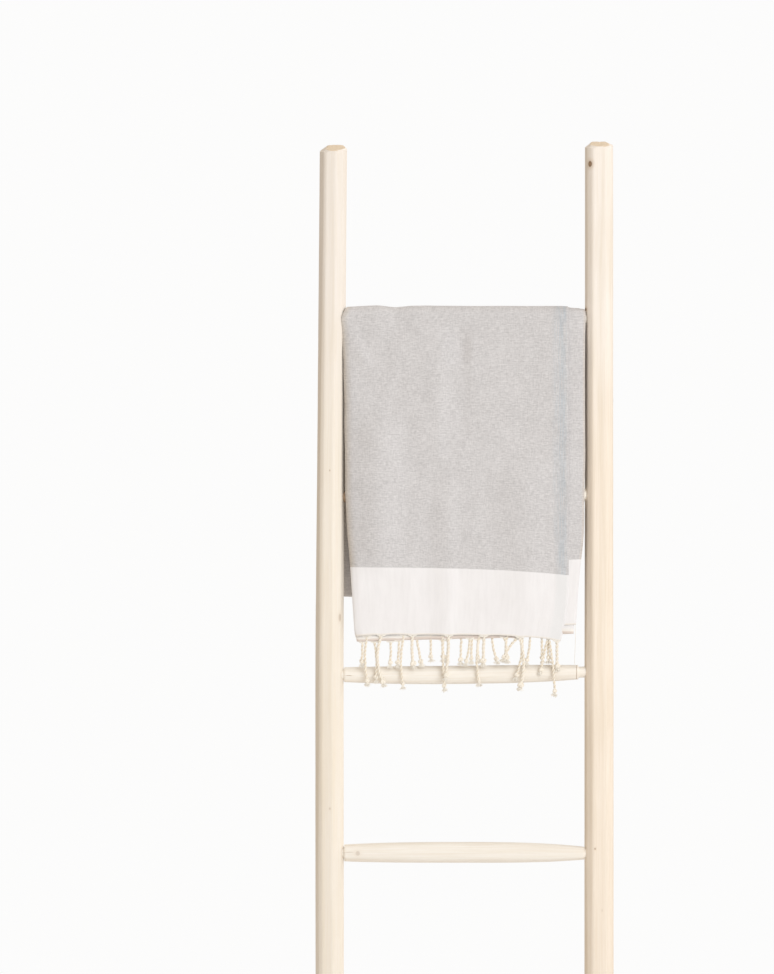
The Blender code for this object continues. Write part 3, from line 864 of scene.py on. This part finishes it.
CLOTH_UV = "weave"
TOP_PITCHES = (0.00085, 0.00108)  # from layer to layer over the rung: pressed thin, and loose
PRESSED_EDGE = 0.0168  # how high the upper edge stands where the cloth is pressed thin
LEVEL_RUN = 0.23  # down to here the weft hangs level
WANDER = 0.0006  # how far the folds and the selvedge stray from their lines
NEAR_HEM = HEM_RUN - 0.02


def top_edge(x):
    """The height of the cloth's upper edge above the rung's axis."""
    return read(TOP_EDGE, x, "height", smooth)


def top_pitch(x):
    """From layer to layer over the rung: the cloth is pressed thinner where its edge dips."""
    return blend(*TOP_PITCHES, smooth((top_edge(x) - PRESSED_EDGE) / 0.003))


def cloth_radius(x):
    """From the top rung's axis to the middle of the layer that lies on it."""
    return top_edge(x) - CLOTH / 2 - 5 * top_pitch(x)


def crease_rise(creases, x, z, layer):
    """How far the hanging cloth stands out of its smooth drape at a place."""
    total = 0.0
    for crease in creases:
        down = (crease.top_z - z) / (crease.top_z - crease.foot_z)
        off = x - blend(crease.top_x, crease.foot_x, down)
        off = abs(off) / (crease.left if off < 0 else crease.right)
        if 0 < down < 1 and off < 1:
            bell = (1 + math.cos(math.pi * off)) / 2
            ends = smooth(down / CREASE_END) * smooth((1 - down) / CREASE_END)
            share = 1.0 if crease.all_layers else smooth(layer - 4)
            total += crease.rise * bell * ends * share
    return total


def strip_sides(run, outer):
    """Where the strip's left fold, right fold and front selvedge lie at a distance along the cloth."""
    wander = WANDER * smooth((abs(run) - 0.03) / 0.1)
    left, right, selvedge = (
        read(OUTER, run, column) + wander * ripple(run, 0.0, size, seed if outer else seed + 1)
        for column, size, seed in (("left", 0.06, 11), ("right", 0.07, 13), ("selvedge", 0.08, 15))
    )
    if outer:
        return left, right, selvedge
    inset = read(INNER_INSETS, run, "right")
    return left + read(INNER_INSETS, run, "left"), right - inset, selvedge - inset


def panel_spans(run, outer):
    """The three panels: from where to where in the flat cloth, and where those two sides hang."""
    left, right, selvedge = strip_sides(run, outer)
    back = right - (right - left) * (1 - INNER_SELVEDGE_SHARE)
    sides = ((selvedge, left), (left, right), (right, back))
    return [(*span, *pair) for span, pair in zip(PANEL_SPANS, sides)]


def across(u, outer, run):
    """The place across the strip of a point of the flat cloth: x before its fold bulges, level, bulge.

    The level runs from MIDDLE_LEVEL on the front panel down to half a layer on the back one.
    """
    for panel, (start, end, first, last) in enumerate(panel_spans(run, outer)):
        if u < start:
            turn = math.pi * (start - u) / (2 * HALF_FOLD)
            bulge = math.sin(turn) * (-0.5 if panel == 1 else 0.5)
            return first, MIDDLE_LEVEL - panel + 0.5 - 0.5 * math.cos(turn), bulge
        if u <= end:
            break
    return blend(first, last, (u - start) / (end - start)), MIDDLE_LEVEL - panel, 0.0


def panel_u(panel, x):
    """The place across the flat cloth of the point of a panel's hem that hangs at x."""
    spans = {span[0]: span for span in panel_spans(HEM_RUN, panel.outer)}
    start, end, first, last = spans[panel.first_u]
    return blend(start, end, min(max((x - first) / (last - first), 0.003), 0.997))


CORD_PLACES = {
    outer: [panel_u(panel, cord.top) for panel in PANELS if panel.outer == outer for cord in panel.cords]
    for outer in (True, False)
}


def cord_nearness(u, outer):
    """1 where a fringe cord leaves the hem, falling to 0 between cords."""
    return max(math.exp(-(((u - place) / 0.01) ** 2)) for place in CORD_PLACES[outer])


def hem_shift(u, run, outer):
    """How much higher a weft line hangs here than at the front selvedge."""
    if outer:
        below = smooth((run - BORDER_RUN) / (HEM_RUN - BORDER_RUN))
        rise = blend(read(RISES, u, "border"), read(RISES, u, "hem"), below)
        rise *= smooth((run - LEVEL_RUN) / (BORDER_RUN - LEVEL_RUN))
    else:
        slant = INNER_HEM_SLANTS[0 if u < FIRST_FOLD else 1]
        rise = slant * abs(u - FIRST_FOLD) * smooth(run / HEM_RUN)
    near_hem = smooth((run - HEM_RUN + 0.03) / 0.03)
    if near_hem > 0:
        rise -= CORD_PULL * near_hem * cord_nearness(u, outer)
    return rise


def back_height(x):
    """The height of the crosswise fold behind, which hangs lower on the right."""
    return blend(BACK_HEIGHT_LEFT, BACK_HEIGHT_RIGHT, (x + STILE_FACE) / (2 * STILE_FACE))


def front_lean(x, z, layer, run, outer):
    """All that moves the hanging front in or out of its plain drape."""
    left, right, _ = strip_sides(run, outer)
    outer_left, outer_right, _ = strip_sides(run, True)
    begun = smooth((run - QUARTER) / 0.05)
    lean = crease_rise(CREASES, x, z, layer) * begun
    lower = smooth((run - 0.04) / 0.09) * (1 - smooth((run - 0.41) / 0.08))
    last_turn = blend(*EDGE_BEND, smooth((run - BORDER_RUN) / 0.03))
    for edge, own_edge, share in ((x - outer_left, x - left, 1.0), (outer_right - x, right - x, 0.3)):
        near = 1 - min(max(edge, 0.0) / blend(*EDGE_REACH, lower), 1.0)
        bend = 1 - min(max(own_edge, 0.0) / last_turn, 1.0)
        rolled = share * blend(*EDGE_ROLL, lower) * near * near
        rolled += last_turn * (1 - math.sqrt(1 - 0.97 * bend * bend))
        lean -= rolled * smooth((run - QUARTER) / 0.03)
    lean += 0.00055 * ripple(x, z, 0.05, 1) * begun
    front = smooth(layer - 4)
    wrinkles = 0.00035 * (1 + ripple(x, z, 0.022, 2)) + 0.0003 * (1 + ripple(x, z * 0.4, 0.012, 3))
    lean += front * begun * wrinkles
    if outer:
        lean += front * HEM_FLARE * smooth((run - NEAR_HEM) / 0.02)
    elif run > NEAR_HEM:
        lean += INNER_HEM_CURL * smooth((front_hem_height(x) - z - 0.0002) / 0.0026)
    return lean


def hang(u, run, outer, turn=None):
    """Carries a point of the flat cloth to where it hangs.

    turn is the angle round the crosswise fold behind, and None away from it. Layer 5 is the front panel
    of the outer pass, and layer 0 that of the inner pass, next to the rung.
    """
    x, level, bulge = across(u, outer, run)
    layer = MIDDLE_LEVEL + (level if outer else -level)
    table_run = run
    if run > QUARTER:
        run -= hem_shift(u, run, outer)
    over = 1 - smooth((abs(run) - QUARTER) / 0.06)
    pitch = blend(read(OUTER, table_run, "pitch"), top_pitch(x), over)
    if abs(run) > QUARTER:
        pitch *= 1 + 0.16 * (1 - over) * ripple(x, run, 0.08, 21)
    radius = blend(read(OUTER, table_run, "forward"), cloth_radius(x), over)
    axis = rung_point(TOP_RUNG, x)
    if abs(run) <= QUARTER:
        angle = run / OVER_RADIUS
        outward = Vector((0, -math.sin(angle), math.cos(angle)))
        point = axis + radius * outward
    elif run > 0:
        outward = Vector((0, -1, 0))
        point = axis + Vector((0, -radius, QUARTER - run))
        point += outward * front_lean(x, point.z, layer, table_run, outer)
    else:
        outward = Vector((0, 1, 0))
        share = (-run - QUARTER) / BACK_RUN
        point = axis + Vector((0, radius, -(TOP_RUNG.middle - back_height(x)) * share))
        lean = crease_rise(BACK_CREASES, x, point.z, layer) + 0.0007 * (1 + ripple(x, point.z, 0.055, 4))
        point += outward * lean * smooth(share / 0.1)
    if turn is not None:
        point += outward * MIDDLE_LEVEL * pitch
        outward = Vector((0, math.cos(turn), -math.sin(turn)))
        layer = level
    return point + outward * layer * pitch + Vector((bulge * pitch, 0, 0))


def stepped(*stops):
    """Even places from stop to stop; each stop is a place and about how long the steps from it are."""
    places = []
    for (start, step), (end, _) in zip(stops, stops[1:]):
        count = max(1, round(abs(end - start) / step))
        places += [blend(start, end, index / count) for index in range(count)]
    return places + [stops[-1][0]]


def cloth_columns():
    """Distances across the flat cloth: close on the front panel, wider on the hidden ones."""
    return stepped(
        (0.0, 0.002), (0.006, 0.0046), (FIRST_FOLD - 0.02, 0.0028), (FIRST_FOLD - 0.006, 0.0008),
        (FIRST_FOLD - HALF_FOLD, 0.0004), (FIRST_FOLD + HALF_FOLD, 0.001), (FIRST_FOLD + 0.005, 0.0095),
        (SECOND_FOLD - 0.028, 0.0036), (SECOND_FOLD - 0.006, 0.001), (SECOND_FOLD - HALF_FOLD, 0.0004),
        (SECOND_FOLD + HALF_FOLD, 0.001), (SECOND_FOLD + 0.005, 0.012), (FLAT_WIDTH, None),
    )


def cloth_rows():
    """The rows from the outer end, over the rung and round the fold behind, to the inner end."""
    end = -QUARTER - BACK_RUN
    outer = stepped((HEM_RUN, 0.0022), (NEAR_HEM, 0.0052), (QUARTER, 0.0032), (-QUARTER, 0.008),
                    (end, None))
    inner = stepped((end, 0.016), (-QUARTER, 0.0032), (QUARTER, 0.012), (NEAR_HEM, 0.0024),
                    (HEM_RUN + INNER_SHORTFALL, None))
    rows = [(run, True, None) for run in outer[:-1]]
    rows += [(end, True, math.pi * step / 8) for step in range(9)]
    return rows + [(run, False, None) for run in inner[1:]]


def along_rows(rows):
    """Each row's distance along the flat cloth from the outer end."""
    places = [0.0]
    for (run, _, turn), (after, _, after_turn) in zip(rows, rows[1:]):
        turned = 0.0 if turn is None else max((after_turn or math.pi) - turn, 0.0)
        places.append(places[-1] + abs(after - run) + OUTER[0].pitch * MIDDLE_LEVEL * turned)
    return places


def make_towel(material):
    columns, rows = cloth_columns(), cloth_rows()
    along = along_rows(rows)
    mesh = bpy.data.meshes.new("towel_cloth")
    verts = [hang(u, *row) for row in rows for u in columns]
    mesh.from_pydata(verts, [], grid_faces(len(rows), len(columns), False))
    mesh.shade_smooth()
    mesh.materials.append(material)
    layer = mesh.uv_layers.new(name=CLOTH_UV)
    for loop in mesh.loops:
        row, column = divmod(loop.vertex_index, len(columns))
        layer.data[loop.index].uv = (columns[column], along[row])
    towel = link_object("towel_cloth", mesh)
    shell = towel.modifiers.new("thickness", "SOLIDIFY")
    shell.thickness = CLOTH
    shell.offset = 0.0
    return towel


GREY_DARK = (0.513, 0.499, 0.502)
GREY_LIGHT = (0.74, 0.72, 0.724)
COOL_TINT = (0.875, 0.937, 0.98)
DENSE_TINT = (0.95, 0.953, 0.956)
# painted warm shade by the left fold, and painted warm bounce light by the right one, each from the pole
# beside it
LEFT_FOLD_PAINTED_SHADE = (0.93, 0.885, 0.81)
RIGHT_FOLD_PAINTED_BOUNCE = (1.0, 0.96, 0.9)
WHITE = (0.878, 0.86, 0.866)
WHITE_SHADE = tuple(0.97 * part for part in WHITE)
WHITE_COOL = (0.8, 0.805, 0.812)
CREAM = (0.9, 0.83, 0.72)
HEADING = (0.935, 0.895, 0.835)  # the inner end's last rows
HEM_EDGE_AND_SHADE = (0.745, 0.645, 0.585)  # and the hem's edge, darker: its rolled edge's own tone and painted shade beneath it
WEFT_PITCH = 0.0011
WARP_PITCH = 0.001


def make_cotton(length):
    """Chambray weave: grey warp under white weft with slubs, a white band at each end, cool selvedges,
    painted warm shade and bounce light along the folds, and painted shade at the inner hem's edge.
    """
    soft = {"Specular IOR Level": 0.15, "Sheen Weight": 0.12, "Sheen Roughness": 0.5}
    material = new_material("grey_cotton", GREY_LIGHT, 0.95, soft)
    u, v = own_uv(material.node_tree, CLOTH_UV)
    slubs = streaks(u, v, 130.0, 480.0, 2.0, 1.0)
    warps = streaks(u, v, 520.0, 100.0, 2.0, 2.0)
    specks = streaks(u, v, 330.0, 380.0, 2.0, 3.0)
    clouds = streaks(u, v, 34.0, 24.0, 3.0, 4.0)
    lines = streaks(u, v, 40.0, 420.0, 1.0, 5.0)
    grey = slubs * 0.34 + warps * 0.24 + specks * 0.2 + lines * 0.11 + clouds * 0.11
    colour = grey.ramp(0.31, 0.69).mix(GREY_DARK, GREY_LIGHT)
    side = u.maths("MINIMUM", FLAT_WIDTH - u)
    inner_end = length - v
    end = v.maths("MINIMUM", inner_end)
    spread = side * end.ramp(0.11, 0.22, 1.18, 1.0)
    band = spread.ramp(0.0205, 0.0285, 1.0, 0.0) * side.ramp(0.001, 0.004)
    stripe = band * side.ramp(0.0115, 0.0175, 1.15, 0.5)
    cords = streaks(u, v, 760.0, 26.0, 2.0, 7.0)
    cool = stripe * cords.ramp(0.36, 0.64, 0.1, 1.25) * side.ramp(0.003, 0.0085, 0.45, 1.0)
    colour = cool.mix(colour, COOL_TINT, "MULTIPLY")
    dense = stripe * streaks(u, v, 30.0, 11.0, 1.0, 8.0).ramp(0.42, 0.66)
    colour = dense.mix(colour, DENSE_TINT, "MULTIPLY")
    # painted light and shade along the folds: the left fold darker and warmer, for shade and light bounced
    # off the pole beside it; the right fold warmer, for light bounced off the other pole
    for place, reach, painted_light in ((FIRST_FOLD, 0.013, LEFT_FOLD_PAINTED_SHADE), (SECOND_FOLD, 0.0055, RIGHT_FOLD_PAINTED_BOUNCE)):
        near = (u - place).maths("ABSOLUTE").ramp(0.001, reach, 1.0, 0.0)
        colour = near.mix(colour, painted_light, "MULTIPLY")
    threads = streaks(u, v, 170.0, 22.0, 2.0, 6.0)
    white = threads.ramp(0.35, 0.7).mix(WHITE, WHITE_SHADE)
    white = (band * 0.55).mix(white, WHITE_COOL)
    ragged = end + warps * 0.0012
    colour = ragged.ramp(WHITE_BAND + 0.0001, WHITE_BAND + 0.0013, 1.0, 0.0).mix(colour, white)
    colour = end.ramp(0.0016, 0.0034, 0.5, 0.0).mix(colour, CREAM)
    colour = inner_end.ramp(0.0045, 0.01, 0.75, 0.0).mix(colour, HEADING)
    # painted shade: the inner hem's last rows darker, for its rolled edge and the shade at its lower edge
    colour = inner_end.ramp(0.0024, 0.0046, 0.9, 0.0).mix(colour, HEM_EDGE_AND_SHADE)
    weft = (v * (2 * math.pi / WEFT_PITCH)).maths("SINE")
    warp = (u * (2 * math.pi / WARP_PITCH)).maths("SINE")
    return paint(material, colour, weft * warp * 0.18 + grey * 1.6, 0.45, 0.0004)


# ---- fringe ----

CORD_COLOUR = (0.95, 0.9, 0.815)
CORD_FIBRE_AND_SHADE = (0.83, 0.735, 0.59)
THREAD_PAINTED_LIGHT = (0.96, 0.92, 0.85)
PLY_STEP = 0.0008  # from ring to ring along a ply


def make_cord_cotton():
    """Cream cotton yarn with fine fibres that run round each ply, painted shade in the crevice between the
    plies, and paler painted light on loose threads.
    """
    soft = {"Specular IOR Level": 0.1, "Sheen Weight": 0.2}
    material = new_material("cream_cord", CORD_COLOUR, 0.95, soft)
    around, along, out = (
        add_node(material.node_tree, "ShaderNodeAttribute", attribute_name=name).out("Fac")
        for name in ("around", "along", "out")
    )
    fibres = streaks(around * 5.0 + along * 900.0, along, 1.0, 60.0, 2.0, 0.0)
    # painted shade: each ply darker towards its cord's middle, in the crevice between the plies
    colour = out.ramp(0.001, 0.0023).mix(CORD_FIBRE_AND_SHADE, CORD_COLOUR)
    colour = fibres.ramp(0.35, 0.7, 0.0, 0.35).mix(colour, CORD_FIBRE_AND_SHADE)
    # painted light: threads, whose out is 1, paler, for the light that thin frayed fibres catch
    colour = out.ramp(0.1, 1.0).mix(colour, THREAD_PAINTED_LIGHT)
    return paint(material, colour, fibres, 0.6, 0.0005)


def clear_of_rung(point, margin):
    """Moves a point out of the rung that the fringe hangs before and rests on."""
    axis = rung_point(REST_RUNG, point.x)
    off = Vector((0, point.y - axis.y, point.z - axis.z))
    least = rung_radius(REST_RUNG, point.x) + margin
    return point if off.length >= least else axis + off.normalized() * least


def hem_point(u, outer):
    return hang(u, HEM_RUN if outer else HEM_RUN + INNER_SHORTFALL, outer)


def front_hem_height(x):
    """The height of the foremost hem, behind which the others' cords begin."""
    covering = PANELS[0 if x < read(OUTER, HEM_RUN, "selvedge") else 1]
    return TOP_RUNG.middle + QUARTER - HEM_RUN + hem_shift(panel_u(covering, x), HEM_RUN, True)


def cord_path(panel, cord, seed):
    """A cord's line from where its threads come together to its knot."""
    start = hem_point(panel_u(panel, cord.top), panel.outer) - Vector((0, 0, MOUTH_DROP))
    start.x = cord.top
    if panel.name != "outer_front":
        start.z = min(start.z, front_hem_height(cord.top) - BEHIND_HEM)
    foot_z = cord.tip + TUFT_LENGTH + 0.002
    hangs_before = foot_z < REST_RUNG.middle + 0.008
    forward = start.y - (FRONT_REACH if hangs_before else 0.0)
    points = []
    count = max(12, int((start.z - foot_z) / 0.0016))
    for step in range(count + 1):
        share = step / count
        x = blend(blend(start.x, cord.middle, share), blend(cord.middle, cord.foot, share), share)
        x += (cord.middle - (start.x + cord.foot) / 2) * share * (1 - share) * 2
        x += 0.00045 * ripple(share * 6, 0, 1.0, seed) * smooth(share / 0.1)
        y = blend(start.y, forward, smooth(share / 0.6)) + 0.0004 * ripple(share * 5, 3, 1.0, seed)
        points.append(clear_of_rung(Vector((x, y, blend(start.z, foot_z, share))), CORD_RADIUS + 0.0002))
    return points


def root_paths(panel, index, cord_line, rng):
    """Warp threads that leave the hem on both sides of a cord, gather in a swag and join the cord."""
    places = [panel_u(panel, cord.top) for cord in panel.cords]
    here = places[index]
    before = (places[index - 1] + here) / 2 if index else panel.first_u + 0.0015
    after = (places[index + 1] + here) / 2 if index + 1 < len(places) else panel.last_u - 0.0015
    forwards = (-0.0012, -0.0004) if panel.name == "outer_front" else (-0.0002, 0.0002)
    join = cord_line[1]
    fall = hem_point(here, panel.outer).z - join.z
    paths = []
    for end in (max(before, here - GROUP_WIDTH), min(after, here + GROUP_WIDTH)):
        for thread in range(ROOT_THREADS):
            share = 1 - (1 - (thread + 0.5) / ROOT_THREADS) ** 1.7
            path = [hem_point(blend(here, end, share), panel.outer) + Vector((0, 0, 0.0004))]
            for step in range(1, 9):
                near = share * (1 - step / 8)
                point = hem_point(blend(here, end, near), panel.outer)
                drop = SWAG_DROP + (fall - SWAG_DROP) * (1 - near) ** 2.5
                point = Vector((point.x, blend(join.y, point.y, near), point.z - drop))
                forward = rng.uniform(*forwards)
                point += Vector((rng.uniform(-1, 1) * 0.0004, forward, rng.uniform(-1, 1) * 0.0007))
                path.append(point)
            paths.append(path)
    return paths


def tuft_paths(foot, heading, rng):
    """Frayed yarn ends that spread below a knot and lie on the rung where they meet it."""
    paths = []
    start = foot + heading * 0.0022
    for _ in range(TUFT_THREADS):
        spread = Vector((rng.gauss(0, 0.55), rng.gauss(0, 0.36), rng.uniform(-0.1, 0.1)))
        way = (heading + spread).normalized()
        curl = Vector((rng.uniform(-1, 1), rng.uniform(-1, 1), -0.4)) * 0.0016
        length = TUFT_LENGTH * rng.uniform(0.6, 1.0)
        points = [start + way * length * share + curl * share * share for share in (0, 0.25, 0.5, 0.75, 1)]
        paths.append([clear_of_rung(point, 0.0006) for point in points])
    return paths


def loose_thread():
    """One thread that hangs from the second panel's corner down to the rung."""
    start = hem_point(SECOND_FOLD - 0.003, True)
    path = []
    for step in range(16):
        share = step / 15
        sway = 0.0006 * math.sin(share * 5.0)
        path.append(start + Vector((0.0012 + sway, 0.0, -LOOSE_LENGTH * share)))
    return path


def curve_object(name, paths):
    """One curve with a straight-pointed spline for each path."""
    curve = bpy.data.curves.new(name, "CURVE")
    curve.dimensions = "3D"
    for path in paths:
        spline = curve.splines.new("POLY")
        spline.points.add(len(path) - 1)
        for point, place in zip(spline.points, path):
            point.co = (*place, 1.0)
    return link_object(name, curve)


def open_tree(name, *sizes):
    """A geometry tree with a curve coming in, a mesh going out, and named sizes to set."""
    tree = bpy.data.node_groups.new(name, "GeometryNodeTree")
    kinds = {"Curves": "Geometry", **dict.fromkeys(sizes, "Float"), "Material": "Material"}
    for socket, kind in kinds.items():
        tree.interface.new_socket(socket, in_out="INPUT", socket_type="NodeSocket" + kind)
    tree.interface.new_socket("Mesh", in_out="OUTPUT", socket_type="NodeSocketGeometry")
    return add_node(tree, "NodeGroupInput")


def close_tree(entry, shape):
    """Ends a geometry tree: smooth faces, real geometry, and the material."""
    tree = entry.tree
    soft = add_node(tree, "GeometryNodeSetShadeSmooth", {"Geometry": shape})
    real = add_node(tree, "GeometryNodeRealizeInstances", {"Geometry": soft})
    inputs = {"Geometry": real, "Material": entry.out("Material")}
    add_node(tree, "NodeGroupOutput", {0: add_node(tree, "GeometryNodeSetMaterial", inputs)})
    return tree


def keep_value(shape, name, value, kind="FLOAT"):
    """Stores a number on a curve's points, which the swept mesh keeps for its material."""
    inputs = {"Geometry": shape, "Name": name, "Value": value}
    return add_node(shape.tree, "GeometryNodeStoreNamedAttribute", inputs, data_type=kind, domain="POINT")


def sweep(curves, radius, sides):
    """A round thread along curves that carries its place along and around."""
    tree = curves.tree
    factor = add_node(tree, "GeometryNodeSplineParameter")
    line = keep_value(curves, "along", factor.out("Length"))
    ring = add_node(tree, "GeometryNodeCurvePrimitiveCircle", {"Resolution": sides, "Radius": radius})
    inputs = {"Curve": line, "Profile Curve": keep_value(ring, "around", factor), "Fill Caps": True}
    return add_node(tree, "GeometryNodeCurveToMesh", inputs)


def twist_tree():
    """Two plies laid round each other along every curve."""
    entry = open_tree("twisted_cord", "Ply radius", "Lay radius", "Twist pitch", "Step")
    tree = entry.tree
    inputs = {"Curve": entry, "Length": entry.out("Step")}
    even = add_node(tree, "GeometryNodeResampleCurve", inputs, mode="LENGTH")
    turns = add_node(tree, "GeometryNodeSplineParameter").out("Length") / entry.out("Twist pitch")
    normal = add_node(tree, "GeometryNodeInputNormal")
    side = add_node(tree, "GeometryNodeInputTangent").vector("CROSS_PRODUCT", normal)
    place = add_node(tree, "GeometryNodeInputPosition")
    line = keep_value(even, "centre", place, "FLOAT_VECTOR")
    joined = add_node(tree, "GeometryNodeJoinGeometry")
    for ply in range(2):
        angle = (turns + ply / 2) * (2 * math.pi)
        off = [direction.vector("SCALE", angle.maths(operation) * entry.out("Lay radius"))
               for operation, direction in (("COSINE", normal), ("SINE", side))]
        inputs = {"Geometry": line, "Offset": off[0].vector("ADD", off[1])}
        tube = sweep(add_node(tree, "GeometryNodeSetPosition", inputs), entry.out("Ply radius"), 9)
        tree.links.new(tube.socket, joined.socket.node.inputs[0])
    centre = add_node(tree, "GeometryNodeInputNamedAttribute", {"Name": "centre"}, data_type="FLOAT_VECTOR")
    # out: each point's distance from the cord's middle, which the material turns into painted crevice shade
    return close_tree(entry, keep_value(joined, "out", place.vector("DISTANCE", centre).out("Value")))


def thread_tree():
    """A single thread along every curve."""
    entry = open_tree("single_threads", "Thread radius")
    # an out of 1 gives the threads the paler colour of painted light
    return close_tree(entry, keep_value(sweep(entry, entry.out("Thread radius"), 5), "out", 1.0))


def knot_tree():
    """An overhand knot at the far end of every curve, each turned its own way."""
    entry = open_tree("overhand_knots", "Knot size", "Strand radius")
    tree = entry.tree

    def draw(low, high, seed):
        inputs = {"Min_001": low, "Max_001": high, "Seed": seed}
        return add_node(tree, "FunctionNodeRandomValue", inputs, data_type="FLOAT").out(1)

    ring = add_node(tree, "GeometryNodeCurvePrimitiveCircle", {"Resolution": 44, "Radius": 1.0})
    turn = add_node(tree, "GeometryNodeSplineParameter") * (2 * math.pi)
    twice = turn * 2.0
    place = combine(turn.maths("SINE") + twice.maths("SINE") * 1.7,
                    turn.maths("COSINE") - twice.maths("COSINE") * 1.7,
                    (turn * 3.0).maths("SINE") * -1.5)
    inputs = {"Geometry": ring, "Position": place.vector("SCALE", entry.out("Knot size"))}
    bent = add_node(tree, "GeometryNodeSetPosition", inputs)
    inputs = {"Axis": (0, 0, 1), "Angle": draw(0.0, 6.28, 5)}
    spun = add_node(tree, "FunctionNodeAxisAngleToRotation", inputs)
    inputs = {"Rotation": spun, "Vector": add_node(tree, "GeometryNodeInputTangent")}
    placed = add_node(tree, "GeometryNodeInstanceOnPoints", {
        "Points": entry,
        "Selection": add_node(tree, "GeometryNodeCurveEndpointSelection", {"Start Size": 0, "End Size": 1}),
        "Instance": keep_value(sweep(bent, entry.out("Strand radius"), 8), "out", KNOT_TONE),
        "Rotation": add_node(tree, "FunctionNodeAlignRotationToVector", inputs, axis="Z"),
        "Scale": draw(0.88, 1.12, 9),
    })
    return close_tree(entry, placed)


def grow(name, paths, tree, sizes, material):
    """Runs a geometry tree on curves, and keeps what it makes as a plain mesh."""
    lines = curve_object(name + "_lines", paths)
    maker = lines.modifiers.new(tree.name, "NODES")
    maker.node_group = tree
    settings = {**sizes, "Material": material}
    for socket in tree.interface.items_tree:
        if socket.name in settings:
            maker[socket.identifier] = settings[socket.name]
    return bake(lines, name)


def join(name, parts):
    """Several mesh objects made one."""
    bpy.ops.object.select_all(action="DESELECT")
    for part in parts:
        part.select_set(True)
    bpy.context.view_layer.objects.active = parts[0]
    bpy.ops.object.join()
    parts[0].name = name
    parts[0].data.name = name
    return parts[0]


def make_fringe(name, outer, material, trees):
    """All the cords of one end: their threads at the hem, twisted lengths, knots and frayed tips."""
    rng = random.Random(17 if outer else 29)
    cords, roots, tufts = {NEAR_CORDS: [], FAR_CORDS: []}, [], []
    for panel in PANELS:
        if panel.outer != outer:
            continue
        for index, cord in enumerate(panel.cords):
            path = cord_path(panel, cord, rng.uniform(0, 50))
            cords[NEAR_CORDS if panel.name == "outer_front" else FAR_CORDS].append(path)
            roots += root_paths(panel, index, path, rng)
            tufts += tuft_paths(path[-1], (path[-1] - path[-4]).normalized(), rng)
    if outer:
        tufts.append(loose_thread())
    parts = [grow(name + "_roots", roots, trees["thread"], {"Thread radius": ROOT_RADIUS}, material),
             grow(name + "_tufts", tufts, trees["thread"], {"Thread radius": THREAD_RADIUS}, material)]
    for thick, lines in cords.items():
        if lines:
            twist = {"Ply radius": PLY_RADIUS * thick, "Lay radius": (CORD_RADIUS - PLY_RADIUS) * thick,
                     "Twist pitch": TWIST_PITCH, "Step": PLY_STEP}
            knot = {"Knot size": KNOT_SIZE * thick, "Strand radius": KNOT_STRAND * thick}
            parts.append(grow(name + "_twists", lines, trees["twist"], twist, material))
            parts.append(grow(name + "_knots", lines, trees["knot"], knot, material))
    return join(name, parts)


# ---- the whole ----


def put(piece, node):
    """Rides a finished piece on the frame in place of its plain solid."""
    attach(piece, "root")
    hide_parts(node)


def main():
    make_camera()
    make_surroundings()
    for lamp in LAMPS:
        make_lamp(lamp)
    make_floor()
    towel = make_towel(make_cotton(along_rows(cloth_rows())[-1]))
    trees = {"twist": twist_tree(), "thread": thread_tree(), "knot": knot_tree()}
    yarn = make_cord_cotton()
    outer_fringe = make_fringe("fringe_front_cords", True, yarn, trees)
    inner_fringe = make_fringe("fringe_inner_cords", False, yarn, trees)
    put(outer_fringe, "fringe_front")
    put(inner_fringe, "fringe_inner")
    put(towel, "towel")
    for stile in STILES:
        put(make_stile(stile), stile.name)
    for index, rung in enumerate(RUNGS):
        put(make_rung(rung, index), rung.name)


main()
